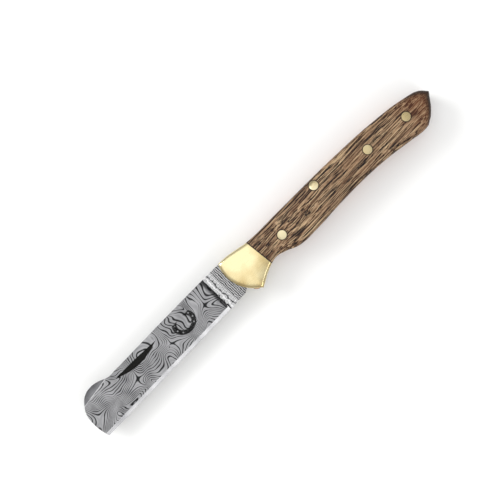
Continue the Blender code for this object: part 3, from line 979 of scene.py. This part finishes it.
@dataclass(frozen=True)
class HandleForm:
    """Outline, crown and rounded edges that scales, bolsters, liners and spring share.

    All lengths are millimetres.
    """

    outline: Outline = Outline("handle_line", (
        (-6.3, 16.75, True), (-2.0, 16.5, False), (3.0, 15.6, False), (8.8, 14.4, False),
        (28.0, 13.8, False), (60.0, 12.9, False),
        (85.0, 11.0, False), (100.0, 8.5, False), (106.5, 6.3, False), (109.6, 3.0, True),
        (103.2, -4.4, False), (99.0, -7.0, True), (96.5, -7.25, False), (88.0, -6.0, False),
        (78.0, -4.4, False), (66.0, -3.3, False), (50.0, -3.0, False), (34.0, -3.4, False),
        (24.0, -2.9, False), (17.5, -0.2, False), (13.5, 0.9, False), (8.6, -0.1, False),
        (0.0, -4.3, True), (-5.1, 0.9, False), (-7.9, 8.2, False), (-7.6, 13.4, False),
    ))
    crown: tuple[tuple[float, float], ...] = (
        (-8.0, 7.35), (2.0, 7.5), (10.0, 7.55), (20.0, 8.35), (30.0, 9.3), (44.0, 9.95),
        (57.0, 10.35), (82.0, 10.35), (92.0, 10.15), (101.0, 9.6), (110.0, 8.7),
    )
    brass_round: tuple[float, float] = (1.25, 1.0)
    wood_round: tuple[float, float] = (4.0, 2.7)
    round_change: tuple[float, float] = (9.0, 34.0)
    dome: tuple[float, float] = (0.45, 8.0)
    joint_top: tuple[float, float] = (8.6, 14.4)
    joint_bottom: tuple[float, float] = (9.9, 0.2)
    joint_gap: float = 0.1
    steps: int = 8
    corner_clear: float = 1.4
    rings: tuple[float, ...] = (0.05, 0.16, 0.35, 0.62, 0.95, 1.3)
    grid: float = 0.9
    grid_y: tuple[float, float] = (-7.0, 16.0)

    def crown_height(self, x: np.ndarray) -> np.ndarray:
        """Half width of the handle at x, a smooth curve without overshoot.

        Args:
            x: Places along the handle.

        Returns:
            The half width at each place.
        """
        knots = np.array(self.crown)
        slopes = np.diff(knots[:, 1]) / np.diff(knots[:, 0])
        product = slopes[:-1] * slopes[1:]
        total = slopes[:-1] + slopes[1:]
        inner = np.where(product > 0.0, 2.0 * product / np.where(total == 0.0, 1.0, total), 0.0)
        tangents = np.concatenate([slopes[:1], inner, slopes[-1:]])
        x = np.clip(x, knots[0, 0], knots[-1, 0])
        i = np.clip(np.searchsorted(knots[:, 0], x) - 1, 0, len(slopes) - 1)
        width = knots[i + 1, 0] - knots[i, 0]
        t = (x - knots[i, 0]) / width
        rise = t * t * (3.0 - 2.0 * t) * (knots[i + 1, 1] - knots[i, 1])
        lead = t * (1.0 - t) ** 2 * width * tangents[i]
        trail = t * t * (t - 1.0) * width * tangents[i + 1]
        return knots[i, 1] + rise + lead + trail

    def edge_distance(self, points: np.ndarray) -> np.ndarray:
        """Distance of each point to the outline.

        Args:
            points: One x and y in each row.

        Returns:
            One distance for each point.
        """
        loop = np.array(self.outline.loop(self.steps))
        spans = np.roll(loop, -1, axis=0) - loop
        squares = (spans ** 2).sum(axis=1)
        offset = points[:, None, :] - loop[None, :, :]
        t = np.clip((offset * spans).sum(axis=2) / squares, 0.0, 1.0)
        return np.sqrt(((offset - t[..., None] * spans) ** 2).sum(axis=2)).min(axis=1)

    def height(self, points: np.ndarray) -> np.ndarray:
        """Height of the outer surface over the middle plane at each point.

        Args:
            points: One x and y in each row.

        Returns:
            One height for each point.
        """
        low, high = self.round_change
        t = np.clip((points[:, 0] - low) / (high - low), 0.0, 1.0)
        grown = t * t * (3.0 - 2.0 * t)
        width = self.brass_round[0] + grown * (self.wood_round[0] - self.brass_round[0])
        drop = self.brass_round[1] + grown * (self.wood_round[1] - self.brass_round[1])
        inward = self.edge_distance(points)
        t = np.clip(inward / width, 0.0, 1.0)
        sag = self.dome[0] * np.clip(1.0 - inward / self.dome[1], 0.0, 1.0) ** 2
        return self.crown_height(points[:, 0]) - drop * (1.0 - np.sqrt(1.0 - (1.0 - t) ** 2)) - sag

    def slab(self, side: Side, keep_front: bool, inner: float) -> bmesh.types.BMesh:
        """Make a bolster (keep_front) or a scale on one side.

        Args:
            side: The side of the knife.
            keep_front: True for the part before the joint.
            inner: Height of the inner face over the middle plane.

        Returns:
            A closed shape.
        """
        sign = side.value
        raw = 1.0
        loop = self.outline.loop(self.steps, self.corner_clear)
        bm = prism([(p.x, p.y, sign * inner) for p in loop], (0.0, 0.0, sign * raw))
        top = [max(bm.faces, key=lambda face: sign * face.calc_center_median().z)]
        reached = 0.0
        for ring in self.rings:
            bmesh.ops.inset_region(bm, faces=top, thickness=ring - reached, use_boundary=True,
                                   use_even_offset=False)
            reached = ring
        self.grid_cuts(bm, top[0])
        outer = [vert for vert in bm.verts if abs(vert.co.z) > inner + raw / 2.0]
        heights = self.height(np.array([vert.co.to_2d() for vert in outer]))
        for vert, height in zip(outer, heights):
            vert.co.z = sign * height
        self.cut_joint(bm, keep_front)
        return bm

    def grid_cuts(self, bm: bmesh.types.BMesh, face: bmesh.types.BMFace) -> None:
        """Cut the top face into a grid, so that it can follow the crown.

        Args:
            bm: The shape.
            face: Its top face.
        """
        region = [face, *face.edges, *face.verts]
        for axis in (0, 1):
            places = self.grid_y if axis else [vert.co.x for vert in face.verts]
            low, high = min(places), max(places)
            normal = Vector((1.0 - axis, axis, 0.0))
            for number in range(1, int((high - low) / self.grid)):
                place = normal * (low + number * self.grid)
                region = bmesh.ops.bisect_plane(bm, geom=region, dist=0.05, plane_co=place,
                                                plane_no=normal)["geom"]

    def cut_joint(self, bm: bmesh.types.BMesh, keep_front: bool) -> None:
        """Cut at the joint between brass and wood and close the cut.

        Args:
            bm: The shape.
            keep_front: True to keep the part before the joint.
        """
        top = Vector(self.joint_top).to_3d()
        bottom = Vector(self.joint_bottom).to_3d()
        along = top - bottom
        normal = Vector((along.y, -along.x, 0.0)).normalized()
        away = normal if keep_front else -normal
        bmesh.ops.bisect_plane(bm, geom=bm.verts[:] + bm.edges[:] + bm.faces[:], dist=0.01,
                               plane_co=bottom - away * (self.joint_gap / 2.0), plane_no=away,
                               clear_outer=True)
        rim = [edge for edge in bm.edges if edge.is_boundary]
        bmesh.ops.holes_fill(bm, edges=rim)
        bmesh.ops.recalc_face_normals(bm, faces=bm.faces)


# --- Sub-assemblies ---------------------------------------------------------


@dataclass
class Blade:
    """The blade: square-ended, with an ear at the tip, hollow ground at the ear.

    Lengths are millimetres, and the half thicknesses are measured from the
    middle plane.
    """

    outline: Outline = Outline("blade_line", (
        (-92.1, -0.6, True), (-93.0, 4.0, False), (-93.1, 8.6, False), (-92.4, 12.4, False),
        (-90.4, 15.8, False), (-87.2, 18.7, False), (-82.9, 19.7, False), (-78.6, 18.9, False),
        (-74.4, 17.2, False), (-70.0, 17.1, False), (-40.0, 17.1, False), (-14.0, 16.8, False),
        (-1.3, 16.4, True), (-1.3, 3.0, True), (-7.0, -0.4, True), (-16.4, -0.6, True),
    ))
    nick_outline: Outline = Outline("nick_line", (
        (-72.7, 14.4, True), (-61.0, 14.2, False), (-48.7, 13.4, True), (-54.0, 11.9, False),
        (-60.5, 11.2, False), (-67.0, 12.3, False),
    ))
    half: float = 1.45
    tang_radius: float = 3.7
    bore_radius: float = 1.83
    plunge_x: float = PLUNGE_X
    plunge_radius: float = 0.5
    spine: tuple[float, float] = (17.0, 1.25)
    bevel_top: tuple[float, float] = (1.0, 0.74)
    edge: tuple[float, float] = (-0.55, 0.12)
    ear_line: tuple[tuple[float, float], tuple[float, float]] = ((-91.0, 15.5), (-75.0, 17.6))
    ear_middle: float = 8.0
    ear_radius: float = 9.0
    ear_offset: float = 4.0
    ear_face: float = 1.22
    ear_facet: float = 0.2
    facet_reach: float = 3.0
    facet_x: tuple[float, float] = (-6.0, 24.0)
    nick_top: float = 1.25
    nick_floor: float = 0.65
    nick_upper: tuple[float, float] = (-60.7, 14.2)
    nick_slant: float = 0.92
    cutter_x: float = -100.0
    cutter_y: tuple[float, float] = (25.0, -5.0)
    cutter_z: float = 5.0
    bore_half: float = 4.0
    drum_segments: int = 64
    wheel_half: float = 20.0
    wheel_segments: int = 160
    steps: int = 8
    broken: float = 0.07
    finishes: tuple[Finish, ...] = (
        PatternWeldedSteel("pattern_welded_steel_etched", 0.36, 1.0),
        GroundSteel("edge_steel_honed", 0.28, 1.0, "#A6A6A7", "#7A7A7C"),
        # The ear's hollow is ground steel with its scratches, in dark greys that are painted shade
        # of the hollow.
        GroundSteel("ear_steel_wheel_ground", 0.42, 1.0, "#5A5A5C", "#343536", (8.0, 0.25, 0.25)),
        BlackeningAndShade("nick_steel_fire_blackened", 0.6, 0.0),
    )

    def build(self) -> bpy.types.Object:
        """Model the blade and dress it.

        Returns:
            The blade's piece.
        """
        plate = self.outline.plate(self.steps, -self.half, self.half)
        cutters = [(self.taper(side), 0) for side in Side]
        cutters += [(self.edge_bevel(side), 1) for side in Side]
        cutters += [(self.ear_edge(), 1), (self.ear_hollow(), 2), (self.nick(), 3)]
        bore = self.drum(self.bore_radius, self.bore_half, self.drum_segments)
        cutters.append((bore, 0))
        tang = self.drum(self.tang_radius, self.half, self.drum_segments)
        body = carve("blade", plate, cutters, [tang])
        return finish_piece("blade_pattern_welded", body, list(self.finishes), Body.BLADE,
                            "blade", softened=self.broken, sharp=14.0)

    @staticmethod
    def drum(radius: float, half: float, segments: int) -> bmesh.types.BMesh:
        """Make a cylinder on the pivot's axis.

        Args:
            radius: Its radius.
            half: Half its height.
            segments: How many sides it has.

        Returns:
            A closed shape.
        """
        bm = bmesh.new()
        bmesh.ops.create_cone(bm, cap_ends=True, segments=segments, radius1=radius,
                              radius2=radius, depth=2.0 * half)
        return bm

    def taper(self, side: Side) -> bmesh.types.BMesh:
        """Make the block that grinds one face flat, with a round end at the plunge.

        Args:
            side: The face that it grinds.

        Returns:
            A closed shape.
        """
        sign = side.value
        slope = (self.spine[1] - self.bevel_top[1]) / (self.spine[0] - self.bevel_top[0])
        high_y, low_y = self.cutter_y
        far = sign * self.cutter_z
        ends = [(y, self.spine[1] + slope * (y - self.spine[0])) for y in (high_y, low_y)]
        profile = [(y, sign * z) for y, z in ends] + [(low_y, far), (high_y, far)]
        start = self.plunge_x
        bm = prism([(start, y, z) for y, z in profile], (self.cutter_x, 0.0, 0.0))
        corner = [
            edge for edge in bm.edges
            if all(abs(v.co.x - start) < 0.01 and abs(v.co.z) < abs(far) for v in edge.verts)
        ]
        bmesh.ops.bevel(bm, geom=corner, offset=self.plunge_radius, offset_type="OFFSET",
                        affect="EDGES", segments=5, profile=0.5, material=-1)
        return bm

    def edge_bevel(self, side: Side) -> bmesh.types.BMesh:
        """Make the block that hones one side of the cutting edge.

        Args:
            side: The side that it hones.

        Returns:
            A closed shape.
        """
        sign = side.value
        top_y, top_z = self.bevel_top
        low_y, low_z = self.edge
        slope = (top_z - low_z) / (top_y - low_y)
        past = 2.0
        thinnest = 0.02
        ends = [
            (top_y + past, top_z + past * slope),
            self.edge,
            (low_y - past, max(low_z - past * slope, thinnest)),
        ]
        profile = [(y, sign * z) for y, z in ends]
        far = sign * self.cutter_z
        profile += [(low_y - past, far), (top_y + past, far)]
        return prism([(self.plunge_x, y, z) for y, z in profile], (self.cutter_x, 0.0, 0.0))

    def along_ear(self) -> Matrix:
        """Give the frame whose X runs along the ear's line, at the face's height.

        Returns:
            The frame as a matrix.
        """
        start, end = (Vector(p) for p in self.ear_line)
        turn = math.atan2(end.y - start.y, end.x - start.x)
        return Matrix.Translation((*start, self.ear_face)) @ Matrix.Rotation(turn, 4, "Z")

    def ear_edge(self) -> bmesh.types.BMesh:
        """Make the block that leaves the bright line below the ear's hollow.

        Returns:
            A closed shape.
        """
        low = -self.ear_facet
        far = self.facet_reach
        start, length = self.facet_x
        profile = [(low, 0.0), (far, low * (far - low)), (far, far), (low, far)]
        bm = prism([(start, s, z) for s, z in profile], (length, 0.0, 0.0))
        bmesh.ops.transform(bm, matrix=self.along_ear(), verts=bm.verts)
        return bm

    def ear_hollow(self) -> bmesh.types.BMesh:
        """Make the wheel that grinds the ear hollow.

        Returns:
            A closed shape.
        """
        rise = math.sqrt(self.ear_radius ** 2 - self.ear_offset ** 2)
        bm = self.drum(self.ear_radius, self.wheel_half, self.wheel_segments)
        turned = Matrix.Rotation(math.pi / 2.0, 4, "Y")
        lie = Matrix.Translation((self.ear_middle, self.ear_offset, rise)) @ turned
        bmesh.ops.transform(bm, matrix=self.along_ear() @ lie, verts=bm.verts)
        return bm

    def nick(self) -> bmesh.types.BMesh:
        """Make the lens with slanting walls that cuts the nail nick.

        Returns:
            A closed shape.
        """
        bm = self.nick_outline.plate(self.steps, self.nick_top, self.nick_floor)
        middle = (self.nick_top + self.nick_floor) / 2.0
        floor = [vert for vert in bm.verts if vert.co.z < middle]
        upper = Vector((*self.nick_upper, 0.0))
        bmesh.ops.scale(bm, vec=(1.0, self.nick_slant, 1.0), verts=floor,
                        space=Matrix.Translation(-upper))
        bmesh.ops.recalc_face_normals(bm, faces=bm.faces)
        return bm


@dataclass
class SteelCore:
    """The back spring with its filework, and the two liners. Lengths are millimetres."""

    form: HandleForm = field(default_factory=HandleForm)
    well: Outline = Outline("well_line", (
        (-20.0, 30.0, True), (-1.0, 30.0, True), (-1.0, 4.0, True), (4.6, 4.0, True),
        (12.0, 7.6, False), (20.0, 8.3, False), (32.0, 7.9, False), (46.0, 6.2, False),
        (60.0, 3.6, False), (72.0, 1.7, False), (86.0, 1.5, False), (94.2, 1.5, True),
        (94.4, -20.0, True), (-20.0, -20.0, True),
    ))
    spring_half: float = 1.6
    liner_span: tuple[float, float] = (1.74, 3.5)
    notches: tuple[tuple[Side, float, float, float], ...] = (
        (Side.FRONT, 8.4, 4.0, 1.0), (Side.FRONT, 26.5, 5.7, 1.4), (Side.FRONT, 43.8, 5.4, 1.4),
        (Side.FRONT, 54.9, 6.4, 1.6), (Side.FRONT, 74.9, 5.4, 1.6), (Side.FRONT, 88.9, 5.0, 1.5),
        (Side.FRONT, 103.0, 2.2, 0.7), (Side.BACK, 20.8, 4.7, 1.5), (Side.BACK, 39.4, 6.3, 2.0),
        (Side.BACK, 53.3, 6.5, 2.0), (Side.BACK, 69.8, 6.4, 2.1), (Side.BACK, 85.5, 6.4, 2.1),
        (Side.BACK, 100.5, 5.7, 1.8),
    )
    notch_bow: tuple[tuple[float, float], ...] = (
        (1.0, 0.0), (0.72, 0.12), (0.45, 0.4), (0.24, 0.82), (0.13, 0.98), (0.05, 0.93),
        (0.0, 0.7), (0.0, -0.4), (1.0, -0.4),
    )
    notch_depth: float = 0.5
    notch_height: float = 3.0
    spine_points: int = 10
    well_half: float = 4.0
    broken: float = 0.1
    satin: Finish = GroundSteel("spring_steel_satin", 0.34, 1.0, "#E3E6EA", "#C2C6CB")
    liner_steel: Finish = GroundSteel("liner_steel_rolled", 0.38, 1.0, "#D3D8DE", "#A9AEB4")
    # Painted shade: the filed notches get a near-black that stands in for the shade in their
    # pockets.
    dark_recess: Finish = BlackeningAndShade("filework_painted_shade", 0.6, 0.3)

    def build(self) -> list[bpy.types.Object]:
        """Model the spring and the liners and dress them.

        Returns:
            The three pieces.
        """
        return [self.spring(), *(self.liner(side) for side in Side)]

    def spring(self) -> bpy.types.Object:
        """Cut the well and the notches out of a plate of the handle's outline.

        Returns:
            The spring's piece.
        """
        plate = self.form.outline.plate(self.form.steps, -self.spring_half, self.spring_half)
        cutters = [(self.well.plate(self.form.steps, -self.well_half, self.well_half), 0)]
        # Slot 1 gives the notches' faces the painted shade.
        cutters += [(self.notch(*notch), 1) for notch in self.notches]
        body = carve("back_spring", plate, cutters)
        return finish_piece("back_spring_filed", body, [self.satin, self.dark_recess], Body.HANDLE,
                            "back_spring", softened=self.broken, sharp=30.0)

    def notch(self, side: Side, blunt: float, length: float, reach: float) -> bmesh.types.BMesh:
        """Make the file's bite: round at its blunt end, running out at the other.

        Args:
            side: The edge of the spring that it bites.
            blunt: Where its blunt end is along x.
            length: How far it runs.
            reach: How far it goes across the spring.

        Returns:
            A closed shape.
        """
        sign = side.value
        shape = [
            (blunt + sign * length * along, sign * (self.spring_half - reach * across))
            for along, across in self.notch_bow
        ]
        spine = [(x, y) for x, y, _ in self.form.outline.points[:self.spine_points]]
        ends = np.interp([blunt, blunt + sign * length], [p[0] for p in spine],
                         [p[1] for p in spine])
        low = float(ends.min()) - self.notch_depth
        return prism([(x, low, z) for x, z in shape], (0.0, self.notch_height, 0.0))

    def liner(self, side: Side) -> bpy.types.Object:
        """Make one liner as a plate of the handle's outline.

        Args:
            side: The side of the knife.

        Returns:
            The liner's piece.
        """
        low, high = sorted(side.value * height for height in self.liner_span)
        plate = self.form.outline.plate(self.form.steps, low, high)
        return finish_piece(f"liner_{side.word}_rolled", plate, [self.liner_steel], Body.HANDLE,
                            f"liner_{side.word}", softened=self.broken,
                            sharp=30.0)


@dataclass
class Covers:
    """The brass bolsters and the wooden scales. Lengths are millimetres."""

    form: HandleForm = field(default_factory=HandleForm)
    inner: float = 3.52
    pins: tuple[tuple[float, float], ...] = PIN_PLACES
    brass: Finish = PolishedBrass("brass_cast_buffed", 0.2, 1.0)

    def wood(self, side: Side) -> Finish:
        """Give the wood of one side: the front is browner and more streaked.

        Args:
            side: The side of the knife.

        Returns:
            The finish.
        """
        if side is Side.FRONT:
            return OiledHardwood("streaked_hardwood_oiled", 0.46, 0.0, pins=self.pins)
        return OiledHardwood(
            "red_hardwood_oiled", 0.46, 0.0, deep="#4A2614", band="#854C2B", ground="#A96A42",
            pale="#C28A5E", butt="#80431F", band_mm=(13.0, 0.8, 0.8), streak_depth=0.5,
            pins=self.pins,
        )

    def build(self) -> list[bpy.types.Object]:
        """Model the covers of both sides and dress them.

        Returns:
            The four pieces.
        """
        pieces = []
        for side in Side:
            word = side.word
            brass = self.form.slab(side, True, self.inner)
            pieces.append(finish_piece(f"bolster_{word}_buffed", brass, [self.brass], Body.HANDLE,
                                       f"bolster_{word}", sharp=50.0))
            wood = self.form.slab(side, False, self.inner)
            pieces.append(finish_piece(f"scale_{word}_oiled", wood, [self.wood(side)], Body.HANDLE,
                                       f"scale_{word}", sharp=50.0))
        return pieces


@dataclass
class Fasteners:
    """The scale pins and the pivot, and the hidden washers and rivets. Lengths are millimetres."""

    form: HandleForm = field(default_factory=HandleForm)
    pins: tuple[tuple[float, float], ...] = PIN_PLACES
    radius: float = 2.0
    pivot_radius: float = 1.75
    raw_length: float = 16.0
    proud: float = 0.06
    sunk: float = 0.5
    segments: int = 48
    rings: tuple[float, ...] = (0.12, 0.5, 1.1)
    brass: Finish = PolishedBrass("brass_rod_peened", 0.3, 1.0, "#CBC09E", "#B2A178")
    steel: Finish = GroundSteel("pivot_steel_polished", 0.25, 1.0)
    bronze: Finish = GroundSteel("phosphor_bronze_rolled", 0.32, 1.0, "#C08A5A", "#9A6A3E")

    def build(self) -> list[bpy.types.Object]:
        """Model the pins and dress the hidden pieces.

        Returns:
            The new pieces.
        """
        pieces = [
            finish_piece(f"scale_pin_{number}_peened", self.pin(place, self.radius, self.proud),
                         [self.brass], Body.HANDLE, f"scale_pin_{number}", sharp=50.0)
            for number, place in enumerate(self.pins, start=1)
        ]
        pivot = self.pin((0.0, 0.0), self.pivot_radius, -self.sunk)
        pieces.append(finish_piece("pivot_pin_polished", pivot, [self.steel], Body.HANDLE,
                                   "pivot_pin", sharp=50.0))
        for side in Side:
            self.dress(f"pivot_washer_{side.word}", self.bronze)
            for number in (1, 2):
                self.dress(f"bolster_rivet_{side.word}_{number}", self.brass)
        return pieces

    def pin(self, place: tuple[float, float], radius: float, proud: float) -> bmesh.types.BMesh:
        """Make a through-pin with slightly domed ends that follow the handle's surface.

        Args:
            place: Its x and y.
            radius: Its radius.
            proud: How far the middle of an end stands over the surface.

        Returns:
            A closed shape.
        """
        bm = bmesh.new()
        bmesh.ops.create_cone(bm, cap_ends=True, segments=self.segments, radius1=radius,
                              radius2=radius, depth=self.raw_length)
        bmesh.ops.translate(bm, verts=bm.verts, vec=(*place, 0.0))
        ends = [face for face in bm.faces if len(face.verts) > 4]
        for end in ends:
            reached = 0.0
            for ring in self.rings:
                bmesh.ops.inset_region(bm, faces=[end], thickness=ring - reached,
                                       use_boundary=True, use_even_offset=True)
                reached = ring
            bmesh.ops.poke(bm, faces=[end])
        flat = np.array([vert.co.to_2d() for vert in bm.verts])
        heights = self.form.height(flat)
        for vert, height in zip(bm.verts, heights):
            share = (vert.co.to_2d() - Vector(place)).length / radius
            lift = proud * (1.0 - share ** 4) if proud > 0.0 else proud
            vert.co.z = math.copysign(height + lift, vert.co.z)
        return bm

    @staticmethod
    def dress(node: str, finish: Finish) -> None:
        """Give a CAD node that stays a worked metal.

        Args:
            node: The node's name.
            finish: The metal.
        """
        materials = frame["nodes"][node].data.materials
        materials.clear()
        materials.append(finish.make())


@dataclass
class Studio:
    """The floor, the lights and the camera. Lengths are metres."""

    aim: tuple[float, float] = (0.00038, 0.00586)
    roll_deg: float = -46.14
    lens: float = 135.0
    view_width: float = 0.2155
    sensor: float = 36.0
    floor_size: float = 6.0
    floor_drop: float = 0.0002
    world: tuple[float, float] = (0.45, 0.9)
    lamps: tuple[tuple[str, tuple[float, float, float], float, float], ...] = (
        ("overhead", (-0.15, 0.2, 1.6), 0.9, 2.2),
        ("spine_side", (-0.4, 0.75, 0.8), 0.6, 6.0),
        ("edge_side", (0.0, -0.8, 1.0), 0.6, 3.0),
    )
    floor: Finish = PaintedFloor("studio_board_matt", 0.9, 0.0)

    def build(self) -> None:
        """Set up the floor, the world, the lights and the camera."""
        self.lay_floor()
        self.light_world(*self.world)
        for lamp in self.lamps:
            self.add_lamp(*lamp)
        self.set_camera()
        bpy.context.scene.view_settings.view_transform = "Standard"

    def lay_floor(self) -> None:
        """Make the pale floor that the knife lies on."""
        bm = bmesh.new()
        bmesh.ops.create_grid(bm, x_segments=1, y_segments=1, size=self.floor_size / 2.0)
        mesh = bpy.data.meshes.new("floor")
        bm.to_mesh(mesh)
        bm.free()
        mesh.materials.append(self.floor.make())
        floor = bpy.data.objects.new("floor", mesh)
        floor.location.z = -self.floor_drop
        bpy.context.scene.collection.objects.link(floor)

    @staticmethod
    def light_world(horizon: float, zenith: float) -> None:
        """Light from a white world that is brighter overhead.

        Args:
            horizon: The strength at the horizon and below.
            zenith: The strength straight above.
        """
        world = bpy.data.worlds.new("studio_air")
        world.use_nodes = True
        tree = world.node_tree
        toward = add_node(tree, "TexCoord", output="Generated")
        upward = add_node(tree, "SeparateXYZ", {"Vector": toward}, "Z")
        inputs = {"Value": upward, "To Min": horizon, "To Max": zenith}
        strength = add_node(tree, "MapRange", inputs, **SMOOTH)
        backdrop = tree.nodes["Background"]
        backdrop.inputs["Color"].default_value = (1.0, 1.0, 1.0, 1.0)
        tree.links.new(strength, backdrop.inputs["Strength"])
        bpy.context.scene.world = world

    def add_lamp(
        self, name: str, place: tuple[float, float, float], size: float, power: float
    ) -> None:
        """Hang a square softbox that faces the knife.

        Args:
            name: The lamp's name.
            place: Where it hangs.
            size: Its side.
            power: Its power in watts.
        """
        light = bpy.data.lights.new(name, "AREA")
        light.size = size
        light.energy = power
        lamp = bpy.data.objects.new(name, light)
        lamp.location = place
        lamp.rotation_mode = "QUATERNION"
        lamp.rotation_quaternion = Vector(place).to_track_quat("Z", "Y")
        bpy.context.scene.collection.objects.link(lamp)

    def set_camera(self) -> None:
        """Look straight down, with the knife running up to the right."""
        data = bpy.data.cameras.new("camera")
        data.lens = self.lens
        data.sensor_width = self.sensor
        camera = bpy.data.objects.new("camera", data)
        height = PIVOT.z + self.view_width * self.lens / self.sensor
        camera.location = (*self.aim, height)
        camera.rotation_euler = (0.0, 0.0, math.radians(self.roll_deg))
        bpy.context.scene.collection.objects.link(camera)
        bpy.context.scene.camera = camera


def main() -> None:
    """Build every sub-assembly and report its pieces."""
    logging.basicConfig(level=logging.INFO, format="%(name)s: %(message)s")
    pieces = [Blade().build(), *SteelCore().build(), *Covers().build(), *Fasteners().build()]
    for piece in pieces:
        LOG.info("%s: %d faces", piece.name, len(piece.data.polygons))
    Studio().build()


if __name__ == "__main__":
    main()
